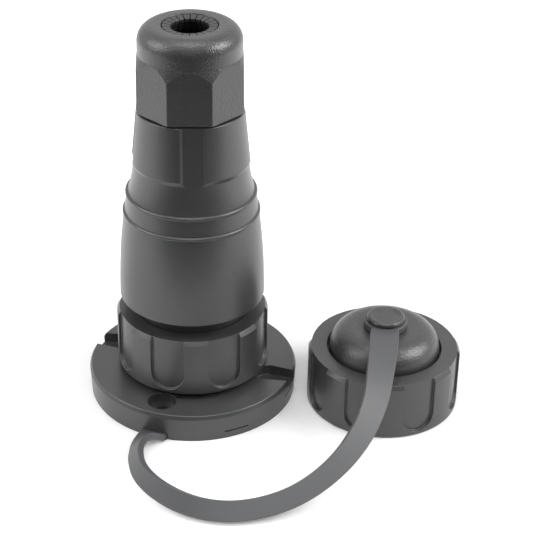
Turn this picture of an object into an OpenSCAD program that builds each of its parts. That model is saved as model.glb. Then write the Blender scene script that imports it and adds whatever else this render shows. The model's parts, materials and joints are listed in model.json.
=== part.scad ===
/* [Deck flange] */
// Diameter of the flange at its upper rim
flange_d = 82.6; // [81:0.2:92]
// Thickness of the flange
flange_h = 11.5; // [10.5:0.25:14]
// How much smaller the flange's radius is at the deck
flange_draft = 1; // [0:0.1:1.5]
// Rounding of the flange's upper rim
flange_edge = 0.6; // [0.4:0.1:2]
// Chamfer at the flange's foot
flange_foot = 0.4; // [0.2:0.1:0.8]

/* [Deck screws] */
// Diameter of the circle through the two deck screws
screw_circle_d = 64.5; // [64:0.25:68]
// Turn of the line through the screws from straight ahead, in degrees
screw_turn = -21; // [-30:1:-12]
// Diameter of a deck screw's hole
screw_hole_d = 5.5; // [4:0.1:6]
// Diameter of the recess for a screw head
head_recess_d = 11; // [9:0.2:11.6]
// Depth of the recess for a screw head
head_recess_depth = 4.3; // [2:0.1:5]
// Width of the two notches in the rim
notch_w = 10.2; // [8:0.2:11]
// Depth of the notches
notch_depth = 4.3; // [3:0.1:5]
// How far the line through the notches lies behind the flange's centre
notch_shift = 1.2; // [0:0.1:2]
// Length of a slit in the flange's side, along the rim
slit_len = 10; // [6:0.5:14]
// Height of a slit
slit_h = 0.6; // [0.5:0.1:1]
// Depth of a slit, inwards from the rim
slit_depth = 3; // [1:0.25:4]
// Height above the deck of the two slits that are not under a notch
slit_z = 3.2; // [2:0.1:5]
// Depth of the other two slits below a notch's floor
notch_slit_drop = 1.4; // [1:0.1:2]
// Turn of the two slits that are not under a notch from the nearest screw, in degrees
slit_turn = 46; // [40:1:50]

/* [Threaded neck] */
// Outer diameter of the neck, at the thread's root
neck_d = 50; // [49:0.25:51]
// Bore of the neck
neck_bore_d = 44; // [43.5:0.25:45]
// Bore of the flange below the socket insert
flange_bore_d = 38; // [34:0.5:40]
// Height of the ledge that carries the socket insert
ledge_z = 9; // [8:0.25:10]

/* [Coupling rings] */
// Outer diameter of the coupling nut and the cap ring
ring_d = 59.4; // [58:0.2:62]
// Height of the coupling nut and the cap ring
ring_h = 23.8; // [22:0.2:24.5]
// Number of grip recesses round a ring
grip_count = 8; // [6:1:10]
// Width of a grip recess
grip_w = 13.3; // [10:0.1:14.8]
// Depth of a grip recess
grip_depth = 1.2; // [0.8:0.1:1.6]
// Height of the band below the grip recesses
grip_foot = 1.8; // [1.2:0.1:3]
// Gap between the flange and the coupling nut
nut_gap = 2.2; // [1.6:0.2:4]
// Thickness of a ring's roof
ring_roof = 3; // [2:0.25:4]
// Height of the chamfer at the top of a ring's lands
land_chamfer_h = 1.7; // [1:0.1:2.2]
// Radial room between the neck and a ring's bore
thread_room = 0.9; // [0.7:0.1:1.1]
// Rounding of a ring's lower edge
ring_edge = 1; // [0.4:0.1:1.4]
// Turn of the coupling nut's recesses, in degrees
nut_turn = 26; // [0:1:45]
// Turn of the cap ring's recesses, in degrees
cap_turn = 23.5; // [0:0.5:45]

/* [Contacts] */
// Diameter of the circle through the four contacts
contact_circle_d = 18; // [17:0.5:20]
// Diameter of a pin
pin_d = 5; // [4:0.1:5.4]
// Length of a pin below its insert
pin_len = 17; // [12:0.5:17.5]
// Step from a pin to its thicker shank
pin_shoulder = 0.5; // [0.3:0.1:0.8]
// Rounding of a pin's tip
pin_tip = 1.2; // [0.8:0.1:1.8]
// Room under a pin's tip in its socket
pin_end_room = 1; // [0.6:0.1:1.4]
// Radial room between a pin and its socket
pin_room = 0.3; // [0.2:0.05:0.4]
// Wall of a socket contact round its bore
socket_wall = 0.7; // [0.5:0.1:1]
// Diameter of a terminal barrel
barrel_d = 8; // [7.4:0.2:9]
// Length of a terminal barrel
barrel_len = 8; // [7:0.25:8.6]
// Diameter of the wire hole in a terminal
wire_d = 4.2; // [3:0.1:4.6]
// Floor left under a terminal's wire hole
wire_floor = 1.5; // [1:0.1:2]
// Distance of a terminal screw from its insert
terminal_screw_z = 4.6; // [4.2:0.1:5]
// Diameter of a terminal screw
terminal_screw_d = 3; // [2.5:0.1:3.5]
// Angle of the first contact from straight ahead, in degrees
contact_turn = 45; // [30:1:60]

/* [Inserts] */
// Diameter of the socket insert where the sleeve slides over it
socket_insert_d = 36; // [35:0.25:36.2]
// Thickness of the socket insert's rim
socket_rim_h = 3.5; // [2.5:0.25:4]
// Height of the socket insert above its ledge
socket_insert_h = 19; // [17:0.5:19.4]
// Height of the ring that holds the socket insert down
socket_ring_h = 2.4; // [1.6:0.2:2.8]
// Thickness of the pin insert
pin_insert_h = 12; // [10:0.5:14]
// Gap between the faces of the two inserts
insert_gap = 1; // [0.5:0.1:1.5]
// Height of the ring that holds the pin insert down
pin_ring_h = 3; // [2:0.25:4]
// Width of the key that sets the plug's turn
key_w = 2.4; // [2:0.1:3]
// Depth of the key
key_depth = 1.6; // [1:0.1:2]

/* [Plug sleeve] */
// Diameter of the sleeve's shank
shank_d = 44; // [43.6:0.1:44.4]
// Bore of the shank, where the pin insert sits
shank_bore_d = 40; // [39.4:0.1:40.4]
// Diameter of the skirt that enters the neck
skirt_d = 43.2; // [42.6:0.1:43.4]
// Bore of the skirt
skirt_bore_d = 36.8; // [36.6:0.1:37.2]
// Diameter of the collar under the coupling nut's roof
collar_d = 49.2; // [48:0.2:50.6]
// Thickness of the collar
collar_h = 2.5; // [2:0.1:3]
// Thickness of the face seal under the collar
seal_t = 1.6; // [1.2:0.1:2]
// Length of the shank inside the plug body
shank_len = 18; // [15:0.5:22]

/* [Plug body] */
// Room between the coupling nut and the plug body
nut_play = 6.4; // [4:0.2:8]
// Diameter of the barrel at its foot
barrel_foot_d = 56.2; // [54.5:0.1:57]
// Diameter of the barrel just under the lower lip
barrel_top_d = 51.4; // [50.8:0.1:51.8]
// Height from the foot of the barrel to the lower lip
lower_lip_z = 36.1; // [33:0.1:40]
// Diameter of the lower lip
lower_lip_d = 52.5; // [52:0.1:53]
// Height from the lower lip to the upper lip
lip_pitch = 7.8; // [6.5:0.1:10]
// Diameter of the upper lip
upper_lip_d = 50.1; // [49.8:0.1:50.6]
// Rounding of the lips
lip_round = 0.9; // [0.6:0.05:1.1]
// Height from the upper lip to the foot of the grip panels
flare_h = 12.1; // [11:0.1:13]
// How far the flare's foot lies inside the upper lip's rounding
flare_inset = 0.2; // [0:0.05:0.4]
// Radius of the hollow flare between the upper lip and the panels
flare_round = 52; // [40:1:70]
// Height of the grip panels
panel_h = 22.4; // [20:0.2:26]
// Diameter across the panels at their foot
panel_foot_d = 45.1; // [44.5:0.1:45.5]
// Diameter across the panels at their top
panel_top_d = 41; // [40:0.1:41.5]
// Height of the panels above the surface round them
panel_raise = 0.7; // [0.4:0.05:1]
// Width of the flat floor between two panels
panel_gap = 7.4; // [5:0.2:9]
// Width of a panel's sloping edge
panel_slope = 1.7; // [0.8:0.1:2]
// Turn of the gaps between the panels, in degrees
panel_turn = 3; // [0:1:45]
// Wall of the plug body
body_wall = 4; // [3:0.25:4.6]

/* [Cable gland] */
// Gland nut's size across flats, at its foot
gland_af = 39.2; // [38.8:0.1:41]
// Height of the gland nut
gland_h = 31.2; // [30:0.2:34]
// Height of the gland nut's flats at their corners
flat_h = 15.7; // [13:0.1:18]
// Height of the slope from the corners of the flats to the round top
flat_slope_h = 5.2; // [4:0.1:6]
// How much smaller the size across flats is at the top
gland_draft = 0.6; // [0:0.1:1]
// Diameter of the gland nut's round top
gland_dome_d = 38.6; // [38:0.1:38.8]
// Rounding of the gland nut's top edge
gland_round = 6; // [4:0.25:7]
// Diameter of the hole in the gland nut's top
gland_mouth_d = 20.8; // [20:0.1:22]
// Diameter of the hole between the claws
claw_mouth_d = 13.9; // [12:0.1:15]
// Number of slits round the claw ring, an even number
claw_slits = 22; // [16:2:26]
// Width of a slit between two claws
claw_slit_w = 0.45; // [0.4:0.05:0.8]
// Height of the slits' foot above the claw ring's foot
claw_slit_z = 9; // [8:0.25:11]
// Wall of the claw ring
claw_wall = 2.4; // [2:0.1:2.8]
// Height of the claw ring's seat above the body's top
claw_seat = 5.7; // [5:0.1:6.5]
// Height of the claws' straight part above the body's threaded end
claw_straight = 4.5; // [4:0.1:5]
// Depth of the claws' tips below the gland nut's top
claw_sink = 0.2; // [0.1:0.1:0.6]
// Diameter of the body's threaded end inside the gland nut
gland_thread_d = 33.2; // [32.6:0.1:33.4]
// Height of that threaded end
gland_thread_h = 15.7; // [14:0.1:17]
// Diameter of the claw ring
claw_d = 29.2; // [28:0.1:29.6]
// Largest cable that the grommet takes
cable_d = 13; // [11:0.1:13.5]
// Gap under the gland nut
gland_gap = 0.7; // [0.5:0.05:0.9]

/* [Cap] */
// Place of the cap's axis to the right of the plug's axis
cap_x = 75.4; // [74:0.2:90]
// Place of the cap's axis in front of the plug's axis
cap_front = 9.4; // [-10:0.2:20]
// Diameter of the dome
dome_d = 43; // [42.4:0.1:43.8]
// Height of the dome above the ring
dome_h = 9; // [7:0.1:12]
// Rounding of the dome's shoulder
dome_round = 8.8; // [6:0.1:9]
// Wall of the dome
dome_wall = 2.5; // [1.8:0.1:3]
// Thickness of the dome's rim under the ring's roof
cap_rim_h = 2.9; // [2.4:0.1:3.2]
// Radial room between the dome's rim and the ring
cap_rim_room = 0.5; // [0.4:0.05:0.7]
// Height of the dome's skirt below its rim
cap_skirt_h = 3; // [2:0.25:4]
// How much smaller the skirt's radius is than the dome's
cap_skirt_step = 1; // [0.6:0.1:1.4]
// Diameter of the stud through the strap's eyelet
stud_d = 8; // [7:0.1:9]
// Diameter of the stud's button
button_d = 14.6; // [13:0.1:15.4]
// Thickness of the button
button_h = 1.8; // [1.6:0.1:2.6]
// Depth of the dish in the button's top
button_dish = 0.5; // [0.2:0.1:0.8]

/* [Strap] */
// Width of the strap along its middle
strap_w = 8; // [7:0.1:9]
// Width of the strap at its two ends
strap_end_w = 11; // [10:0.1:12]
// Thickness of the strap
strap_t = 2.7; // [2:0.1:3.2]
// Diameter of the eyelet on the cap's stud
eyelet_d = 16.8; // [16:0.1:18]

/* [Seals] */
// Width of the deck gasket
gasket_w = 3.2; // [2:0.1:3.6]
// Thickness of the deck gasket
gasket_t = 1.5; // [1:0.1:2]
// Thickness of the sleeve's O-ring
o_ring_t = 2; // [1.6:0.1:2.4]
// Height of the O-ring above the foot of the plug body
o_ring_rise = 5; // [4:0.25:8]
// Thickness of the cap's seal
cap_seal_t = 1.6; // [1:0.1:2]

/* [Fits] */
// Room round a piece that is seated in its carrier
seat_room = 0.1; // [0.05:0.01:0.15]
// Room between pieces that move past each other
run_room = 0.3; // [0.25:0.01:0.4]

/* [Hidden] */
$fn = 96;
CONTACTS = 4;
// A cutter reaches past the surface that it cuts by this much
over = 1;

// Heights up the plug's axis, from the deck
nut_z = flange_h + nut_gap;
nut_top = nut_z + ring_h;
collar_top = nut_top - ring_roof - run_room;
collar_z = collar_top - collar_h;
seal_z = collar_z - seal_t;
neck_top = seal_z - seat_room;
body_z = nut_top + nut_play;
shank_top = body_z + shank_len;
lower_lip = body_z + lower_lip_z;
upper_lip = lower_lip + lip_pitch;
panel_z = upper_lip + flare_h;
body_top = panel_z + panel_h;
gland_z = body_top + gland_gap;
gland_top = gland_z + gland_h;
thread_top = body_top + gland_thread_h;

// Contact sizes
socket_bore = pin_d + 2 * pin_room;
socket_d = socket_bore + 2 * socket_wall;
pin_insert_z = ledge_z + socket_insert_h + insert_gap;
pin_insert_top = pin_insert_z + pin_insert_h;
skirt_z = ledge_z + socket_rim_h + socket_ring_h + 2 * run_room;
pin_shank_d = pin_d + 2 * pin_shoulder;

// Radii that several pieces share
flange_r = flange_d / 2;
screw_r = screw_circle_d / 2;
ring_r = ring_d / 2;
ring_bore_r = neck_d / 2 + thread_room;
ring_hole_r = shank_d / 2 + run_room;
grip_r = ring_r - grip_depth;
gland_bore_r = gland_thread_d / 2 + run_room + seat_room;
claw_bore_r = claw_d / 2 + run_room;
claw_z = body_top + claw_seat;
claw_top = gland_top - claw_sink;
claw_bend = thread_top + claw_straight;
// The gasket lies midway between the flange's bore and the strap's pocket
gasket_r = (flange_bore_d / 2 + screw_r - strap_end_w / 2 - gasket_w) / 2;
key_slot_w = key_w + 2 * run_room;
key_tip_r = skirt_bore_d / 2 - key_depth;
o_ring_z = body_z + o_ring_rise;

// Colours of the mouldings, the rubber and the metal
dark_plastic = "#3c3d3f";
mid_plastic = "#4a4b4d";
strap_grey = "#6b6c6e";
rubber = "#1d1e20";
insert_plastic = "#26282c";
brass = "#c9a856";
steel = "#b9bcc0";

// Turns children to a direction measured from straight ahead, towards the right
module facing(angle) {
    rotate([0, 0, angle]) children();
}

// A flat ring with square edges
module washer(outer_r, inner_r, h) {
    rotate_extrude() translate([inner_r, 0]) square([outer_r - inner_r, h]);
}

// A half section with a rounded outer corner at its top
module rounded_block(inner_r, outer_r, h, edge) {
    translate([inner_r, 0]) square([outer_r - edge - inner_r, h]);
    translate([inner_r, 0]) square([outer_r - inner_r, h - edge]);
    translate([outer_r - edge, h - edge]) circle(edge);
}

// Outline of a slot with a round end, from its centre outwards
module slot_outline(w, reach) {
    circle(d = w);
    translate([-w / 2, -reach]) square([w, reach]);
}

// Half section of the flange and its neck
module flange_section() {
    foot_r = flange_r - flange_draft;
    rim_z = flange_h - flange_edge;
    bore_r = flange_bore_d / 2;
    neck_r = neck_d / 2;
    neck_bore_r = neck_bore_d / 2;
    neck_chamfer = 1;
    difference() {
        union() {
            polygon([
                [bore_r, 0], [foot_r - flange_foot, 0], [foot_r, flange_foot],
                [flange_r, rim_z], [flange_r - flange_edge, rim_z], [flange_r - flange_edge, flange_h],
                [neck_r, flange_h], [neck_r, neck_top - neck_chamfer],
                [neck_r - neck_chamfer, neck_top], [bore_r, neck_top]
            ]);
            translate([flange_r - flange_edge, rim_z]) circle(flange_edge);
        }
        translate([0, ledge_z]) square([neck_bore_r, neck_top]);
        translate([gasket_r - seat_room, -over])
            square([gasket_w + 2 * seat_room, over + gasket_t + seat_room]);
    }
}

// Pocket under the flange for the strap's end
module strap_pocket() {
    translate([0, -screw_r, -over])
        linear_extrude(over + strap_t + seat_room)
            slot_outline(strap_end_w + 4 * seat_room, flange_r);
}

// Narrow slit in the flange's side, following the rim
module side_slit(z) {
    turn = slit_len / flange_r * 180 / PI;
    facing(-90 - turn / 2) rotate_extrude(angle = turn)
        translate([flange_r - slit_depth, z - slit_h / 2]) square([slit_depth + over, slit_h]);
}

module deck_flange() {
    color(dark_plastic) difference() {
        rotate_extrude() flange_section();
        for (k = [0, 1]) facing(screw_turn + 180 * k) {
            translate([0, -screw_r, -over]) cylinder(d = screw_hole_d, h = flange_h + 2 * over);
            translate([0, -screw_r, flange_h - head_recess_depth])
                cylinder(d = head_recess_d, h = head_recess_depth + over);
            facing(slit_turn) side_slit(slit_z);
            facing(90) side_slit(flange_h - notch_depth - notch_slit_drop);
        }
        for (k = [0, 1]) translate([0, notch_shift, flange_h - notch_depth]) facing(screw_turn + 90 + 180 * k)
            translate([0, -screw_r, 0]) linear_extrude(notch_depth + over) slot_outline(notch_w, flange_r);
        facing(screw_turn) strap_pocket();
    }
}

module deck_gasket() {
    color(rubber) washer(gasket_r + gasket_w, gasket_r, gasket_t);
}

// Places children at one contact of the ring of four
module at_contact(k) {
    facing(contact_turn + 360 / CONTACTS * k) translate([0, -contact_circle_d / 2, 0]) children();
}

// Radial hole or screw body in the side of a terminal
module terminal_side(d, from_r, to_r) {
    rotate([90, 0, 0]) translate([0, 0, from_r]) cylinder(d = d, h = to_r - from_r);
}

// Brass barrel with its wire hole, standing on the plane where it meets the insert
module terminal_barrel() {
    wire_depth = barrel_len - wire_floor;
    difference() {
        cylinder(d = barrel_d, h = barrel_len);
        translate([0, 0, barrel_len - wire_depth]) cylinder(d = wire_d, h = wire_depth + over);
        translate([0, 0, terminal_screw_z]) terminal_side(terminal_screw_d, 0, barrel_d);
    }
}

// Slotted grub screws, one in the outer side of each terminal
module terminal_screws() {
    slot_w = 0.6;
    slot_depth = 0.8;
    bite = 0.6;
    sunk = 0.2;
    tip_r = wire_d / 2 - bite;
    head_r = barrel_d / 2 - sunk;
    for (k = [0:CONTACTS - 1]) at_contact(k) translate([0, 0, terminal_screw_z]) difference() {
        terminal_side(terminal_screw_d - 2 * seat_room, tip_r, head_r);
        translate([-terminal_screw_d, -head_r - over, -slot_w / 2])
            cube([2 * terminal_screw_d, slot_depth + over, slot_w]);
    }
}

module socket_insert() {
    color(insert_plastic) translate([0, 0, ledge_z]) difference() {
        rotate_extrude() difference() {
            square([neck_bore_d / 2 - seat_room, socket_insert_h]);
            translate([socket_insert_d / 2, socket_rim_h]) square([neck_bore_d, socket_insert_h]);
        }
        for (k = [0:CONTACTS - 1]) at_contact(k)
            translate([0, 0, -over]) cylinder(d = socket_d + 2 * seat_room, h = socket_insert_h + 2 * over);
        translate([-key_slot_w / 2, -socket_insert_d, socket_rim_h])
            cube([key_slot_w, socket_insert_d - key_tip_r + run_room, socket_insert_h]);
    }
}

// One socket contact: a tube for the pin above, a terminal below
module socket_contact(k) {
    mouth_drop = 0.5;
    tube_h = socket_insert_h - mouth_drop;
    bore_h = pin_len - insert_gap - mouth_drop + pin_end_room;
    color(brass) at_contact(k) translate([0, 0, ledge_z]) {
        difference() {
            cylinder(d = socket_d, h = tube_h);
            translate([0, 0, tube_h - bore_h]) cylinder(d = socket_bore, h = bore_h + over);
        }
        mirror([0, 0, 1]) terminal_barrel();
    }
}

module socket_terminal_screws() {
    color(steel) translate([0, 0, ledge_z]) mirror([0, 0, 1]) terminal_screws();
}

module socket_retaining_ring() {
    color(dark_plastic) translate([0, 0, ledge_z + socket_rim_h])
        washer(neck_bore_d / 2 - seat_room, socket_insert_d / 2 + seat_room, socket_ring_h);
}

module plug_sleeve() {
    skirt_r = skirt_d / 2;
    shank_r = shank_d / 2;
    skirt_chamfer = 0.8;
    color(mid_plastic) {
        rotate_extrude() difference() {
            polygon([
                [0, skirt_z], [skirt_r - skirt_chamfer, skirt_z], [skirt_r, skirt_z + skirt_chamfer],
                [skirt_r, collar_z], [collar_d / 2, collar_z], [collar_d / 2, collar_top],
                [shank_r, collar_top], [shank_r, shank_top], [0, shank_top]
            ]);
            translate([0, skirt_z - over]) square([skirt_bore_d / 2, shank_top]);
            translate([0, pin_insert_z]) square([shank_bore_d / 2, shank_top]);
        }
        translate([-key_w / 2, -skirt_bore_d / 2 - over, skirt_z])
            cube([key_w, key_depth + over, pin_insert_z - skirt_z]);
    }
}

module sleeve_o_ring() {
    ring_r = shank_d / 2 + seat_room / 2 + o_ring_t / 2;
    color(rubber) translate([0, 0, o_ring_z]) rotate_extrude() translate([ring_r, 0]) circle(d = o_ring_t);
}

module plug_face_seal() {
    color(rubber) translate([0, 0, seal_z])
        washer(collar_d / 2 - 2 * seat_room, skirt_d / 2 + seat_room, seal_t);
}

module pin_insert() {
    color(insert_plastic) translate([0, 0, pin_insert_z]) difference() {
        cylinder(d = shank_bore_d - 2 * seat_room, h = pin_insert_h);
        for (k = [0:CONTACTS - 1]) at_contact(k)
            translate([0, 0, -over]) cylinder(d = pin_shank_d + 2 * seat_room, h = pin_insert_h + 2 * over);
    }
}

// One pin contact: a round-tipped pin below, a terminal above
module pin_contact(k) {
    color(brass) at_contact(k) translate([0, 0, pin_insert_z]) {
        rotate_extrude() {
            square([pin_shank_d / 2, pin_insert_h]);
            translate([0, pin_tip - pin_len]) square([pin_d / 2, pin_len - pin_tip]);
            translate([0, -pin_len]) square([pin_d / 2 - pin_tip, pin_len]);
            translate([pin_d / 2 - pin_tip, pin_tip - pin_len]) circle(pin_tip);
        }
        translate([0, 0, pin_insert_h]) terminal_barrel();
    }
}

module pin_terminal_screws() {
    color(steel) translate([0, 0, pin_insert_top]) terminal_screws();
}

module pin_retaining_ring() {
    terminal_room = 1.5;
    bore_r = contact_circle_d / 2 + barrel_d / 2 + terminal_room;
    color(dark_plastic) translate([0, 0, pin_insert_top])
        washer(shank_bore_d / 2 - seat_room, bore_r, pin_ring_h);
}

// Radius of the barrel, which bulges gently from its foot to the lower lip
function barrel_r(t) = barrel_foot_d / 2 - (barrel_foot_d - barrel_top_d) / 2 * t * t;

// Outer half section of the plug body
module plug_outline() {
    steps = 12;
    foot_round = 0.5;
    panel_foot_r = panel_foot_d / 2;
    panel_top_r = panel_top_d / 2;
    panel_edge = 0.5;
    base_r = panel_foot_r - panel_raise;
    upper_r = upper_lip_d / 2 - lip_round;
    lower_r = lower_lip_d / 2 - lip_round;
    polygon(concat(
        [[0, body_z], [barrel_foot_d / 2 - foot_round, body_z]],
        [for (i = [0:steps]) let (t = i / steps) [barrel_r(t), body_z + max(foot_round, t * lower_lip_z)]],
        [[lower_r, lower_lip], [upper_r, upper_lip], [base_r, upper_lip]],
        [[base_r, panel_z], [panel_foot_r, panel_z + panel_slope]],
        [[panel_top_r, body_top - panel_edge], [panel_top_r - panel_edge, body_top], [0, body_top]]
    ));
    translate([lower_r, lower_lip]) circle(lip_round);
    translate([upper_r, upper_lip]) circle(lip_round);
    flare_section([upper_r - flare_inset, upper_lip + lip_round], [base_r, panel_z]);
}

// Fills the corner between the upper lip and the panels with a hollow curve
module flare_section(foot, head) {
    chord = head - foot;
    half = norm(chord) / 2;
    outwards = [chord.y, -chord.x] / norm(chord);
    difference() {
        polygon([[0, upper_lip], [foot.x, upper_lip], foot, [foot.x, head.y], [0, head.y]]);
        translate((foot + head) / 2 + outwards * sqrt(flare_round * flare_round - half * half))
            circle(flare_round, $fn = 4 * $fn);
    }
}

// Hollow inside of the plug body, with the seats of the sleeve and the claw ring
module plug_hollow() {
    sleeve_r = shank_d / 2 + seat_room / 2;
    seat_ledge = 1.5;
    throat_h = 4;
    lip_extra = 1;
    lip_wall = body_wall + lip_extra;
    neck_r = claw_d / 2 - claw_wall - seat_ledge;
    waist_r = panel_foot_d / 2 - panel_raise - body_wall;
    groove_h = o_ring_t + 4 * seat_room;
    polygon([
        [0, body_z - over], [sleeve_r, body_z - over], [sleeve_r, shank_top + seat_room],
        [barrel_top_d / 2 - body_wall, shank_top + seat_room], [upper_lip_d / 2 - lip_wall, lower_lip],
        [waist_r, panel_z], [neck_r, body_top - throat_h], [neck_r, claw_z - run_room],
        [claw_bore_r, claw_z - run_room], [claw_bore_r, thread_top + over], [0, thread_top + over]
    ]);
    translate([0, o_ring_z - groove_h / 2]) square([sleeve_r + o_ring_t + seat_room, groove_h]);
}

// Straight-sided cut that leaves a flat floor between two panels
module panel_cut() {
    sink = 0.12;
    foot_r = panel_foot_d / 2 - panel_raise - sink;
    lean = atan((panel_foot_d - panel_top_d) / 2 / (panel_h - panel_slope));
    reach = 3;
    half = panel_gap / 2;
    wide = half + panel_slope / panel_raise * reach;
    translate([0, -foot_r, panel_z - over]) rotate([-lean, 0, 0]) linear_extrude(panel_h * 1.2)
        polygon([[-half, 0], [half, 0], [wide, -reach], [-wide, -reach]]);
}

module plug_body() {
    panels = 4;
    color(dark_plastic) difference() {
        union() {
            difference() {
                rotate_extrude() plug_outline();
                for (k = [0:panels - 1]) facing(panel_turn + 360 / panels * k) panel_cut();
            }
            translate([0, 0, body_top - over]) cylinder(d = gland_thread_d, h = gland_thread_h + over);
        }
        rotate_extrude() plug_hollow();
    }
}

// Half section of a coupling ring, standing on its open end
module ring_section() {
    roof_z = ring_h - ring_roof;
    floor_step = 0.15;
    land_chamfer = grip_depth - floor_step;
    polygon([
        [ring_bore_r, 0], [ring_r - ring_edge, 0], [ring_r - ring_edge, ring_edge], [ring_r, ring_edge],
        [ring_r, ring_h - land_chamfer_h], [ring_r - land_chamfer, ring_h], [ring_hole_r, ring_h],
        [ring_hole_r, roof_z], [ring_bore_r, roof_z]
    ]);
    intersection() {
        translate([ring_r - ring_edge, ring_edge]) circle(ring_edge);
        translate([ring_bore_r, 0]) square([ring_r, ring_h]);
    }
}

// One grip recess: straight sides, a round foot and a floor that follows the ring
module grip_recess() {
    intersection() {
        difference() {
            cylinder(r = ring_r + over, h = ring_h + over);
            translate([0, 0, -over]) cylinder(r = grip_r, h = ring_h + 3 * over);
        }
        translate([0, 0, grip_foot + grip_w / 2]) rotate([90, 0, 0]) linear_extrude(ring_r + 2 * over) {
            circle(d = grip_w);
            translate([-grip_w / 2, 0]) square([grip_w, ring_h]);
        }
    }
}

// Moulded ring with grip recesses, shared by the coupling nut and the cap
module coupling_ring(turn) {
    difference() {
        rotate_extrude() ring_section();
        for (k = [0:grip_count - 1]) facing(turn + 360 / grip_count * k) grip_recess();
    }
}

module coupling_nut() {
    color(dark_plastic) translate([0, 0, nut_z]) coupling_ring(nut_turn);
}

module gland_claw() {
    tip_h = 1.2;
    claw_r = claw_d / 2;
    tip_r = gland_mouth_d / 2 - run_room;
    color(mid_plastic) difference() {
        rotate_extrude() polygon([
            [claw_r - claw_wall, claw_z], [claw_r, claw_z], [claw_r, claw_bend],
            [tip_r, claw_top - tip_h], [tip_r, claw_top],
            [claw_mouth_d / 2, claw_top], [claw_mouth_d / 2, claw_top - tip_h],
            [claw_r - claw_wall, claw_bend]
        ]);
        for (k = [0:claw_slits / 2 - 1]) facing(360 / claw_slits * k)
            translate([-claw_slit_w / 2, -claw_d, claw_z + claw_slit_z]) cube([claw_slit_w, 2 * claw_d, gland_h]);
    }
}

module gland_grommet() {
    outer_r = claw_d / 2 - claw_wall - seat_room;
    cone_h = 5;
    cone_wall = 2;
    cone_r = cable_d / 2 + cone_wall;
    color(rubber) rotate_extrude() polygon([
        [cable_d / 2, claw_z], [outer_r, claw_z], [outer_r, claw_bend],
        [cone_r, claw_bend + cone_h], [cable_d / 2, claw_bend + cone_h]
    ]);
}

// Eight drafted flats, each pair cut by one tapering slab
module gland_flats() {
    foot = gland_af / 2;
    top = foot - gland_draft / 2;
    intersection_for (k = [0:3]) rotate([90, 0, 45 * k]) translate([0, 0, -gland_af])
        linear_extrude(2 * gland_af) polygon([[-foot, 0], [foot, 0], [top, gland_h], [-top, gland_h]]);
}

module gland_nut() {
    corner_r = gland_af / 2 / cos(22.5);
    dome_r = gland_dome_d / 2;
    shoulder_h = flat_h + flat_slope_h;
    mouth_r = gland_mouth_d / 2;
    mouth_h = 2;
    mouth_edge = 0.3;
    foot_chamfer = 0.5;
    bore_lead = 1.5;
    thread_bore_h = thread_top - gland_z + bore_lead;
    bend_h = claw_bend - gland_z;
    color(dark_plastic) translate([0, 0, gland_z]) difference() {
        intersection() {
            rotate_extrude() {
                polygon([
                    [0, 0], [corner_r - foot_chamfer, 0], [corner_r, foot_chamfer], [corner_r, flat_h],
                    [dome_r, shoulder_h], [dome_r, gland_h - gland_round],
                    [dome_r - gland_round, gland_h - gland_round],
                    [dome_r - gland_round, gland_h], [0, gland_h]
                ]);
                translate([dome_r - gland_round, gland_h - gland_round]) circle(gland_round);
            }
            gland_flats();
        }
        rotate_extrude() polygon([
            [0, -over], [gland_bore_r, -over], [gland_bore_r, thread_bore_h],
            [claw_bore_r + seat_room, bend_h], [mouth_r, gland_h - mouth_h], [mouth_r, gland_h - mouth_edge],
            [mouth_r + mouth_edge + over, gland_h + over], [0, gland_h + over]
        ]);
    }
}

// Places children on the cap's own axis
module at_cap() {
    translate([cap_x, -cap_front, 0]) children();
}

// Heights up the cap's axis
rim_top = ring_h - ring_roof - run_room;
rim_z = rim_top - cap_rim_h;
cap_rim_r = ring_bore_r - cap_rim_room;
cap_skirt_r = dome_d / 2 - cap_skirt_step;
dome_top = ring_h + dome_h;
eyelet_z = dome_top + run_room / 2;
button_z = eyelet_z + strap_t + run_room;

module cap_dome() {
    dome_r = dome_d / 2;
    inner_r = dome_r - dome_wall;
    hollow_h = dome_top - dome_wall - rim_z + cap_skirt_h + over;
    button_band = 1.1;
    edge = (button_h - button_band) / 2;
    dish_r = button_d / 2 - edge;
    dish_slope = 1.2;
    color(dark_plastic) at_cap() rotate_extrude() {
        difference() {
            union() {
                translate([0, rim_z]) rounded_block(0, dome_r, dome_top - rim_z, dome_round);
                translate([0, rim_z]) square([cap_rim_r, cap_rim_h]);
                translate([0, rim_z - cap_skirt_h]) square([cap_skirt_r, cap_skirt_h + over]);
            }
            translate([0, rim_z - cap_skirt_h - over])
                rounded_block(0, inner_r, hollow_h, dome_round - dome_wall);
        }
        translate([0, dome_top - over]) square([stud_d / 2, button_z - dome_top + 2 * over]);
        difference() {
            translate([0, button_z]) {
                square([button_d / 2 - edge, button_h]);
                translate([0, edge]) square([button_d / 2, button_h - 2 * edge]);
                for (z = [edge, button_h - edge]) translate([button_d / 2 - edge, z]) circle(edge);
            }
            translate([0, button_z + button_h]) polygon([
                [0, -button_dish], [dish_r - dish_slope, -button_dish], [dish_r, 0], [dish_r, over], [0, over]
            ]);
        }
    }
}

module cap_seal() {
    color(rubber) at_cap() translate([0, 0, rim_z - cap_seal_t])
        washer(cap_rim_r, cap_skirt_r + seat_room, cap_seal_t);
}

module cap_ring() {
    color(dark_plastic) at_cap() coupling_ring(cap_turn);
}

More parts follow.
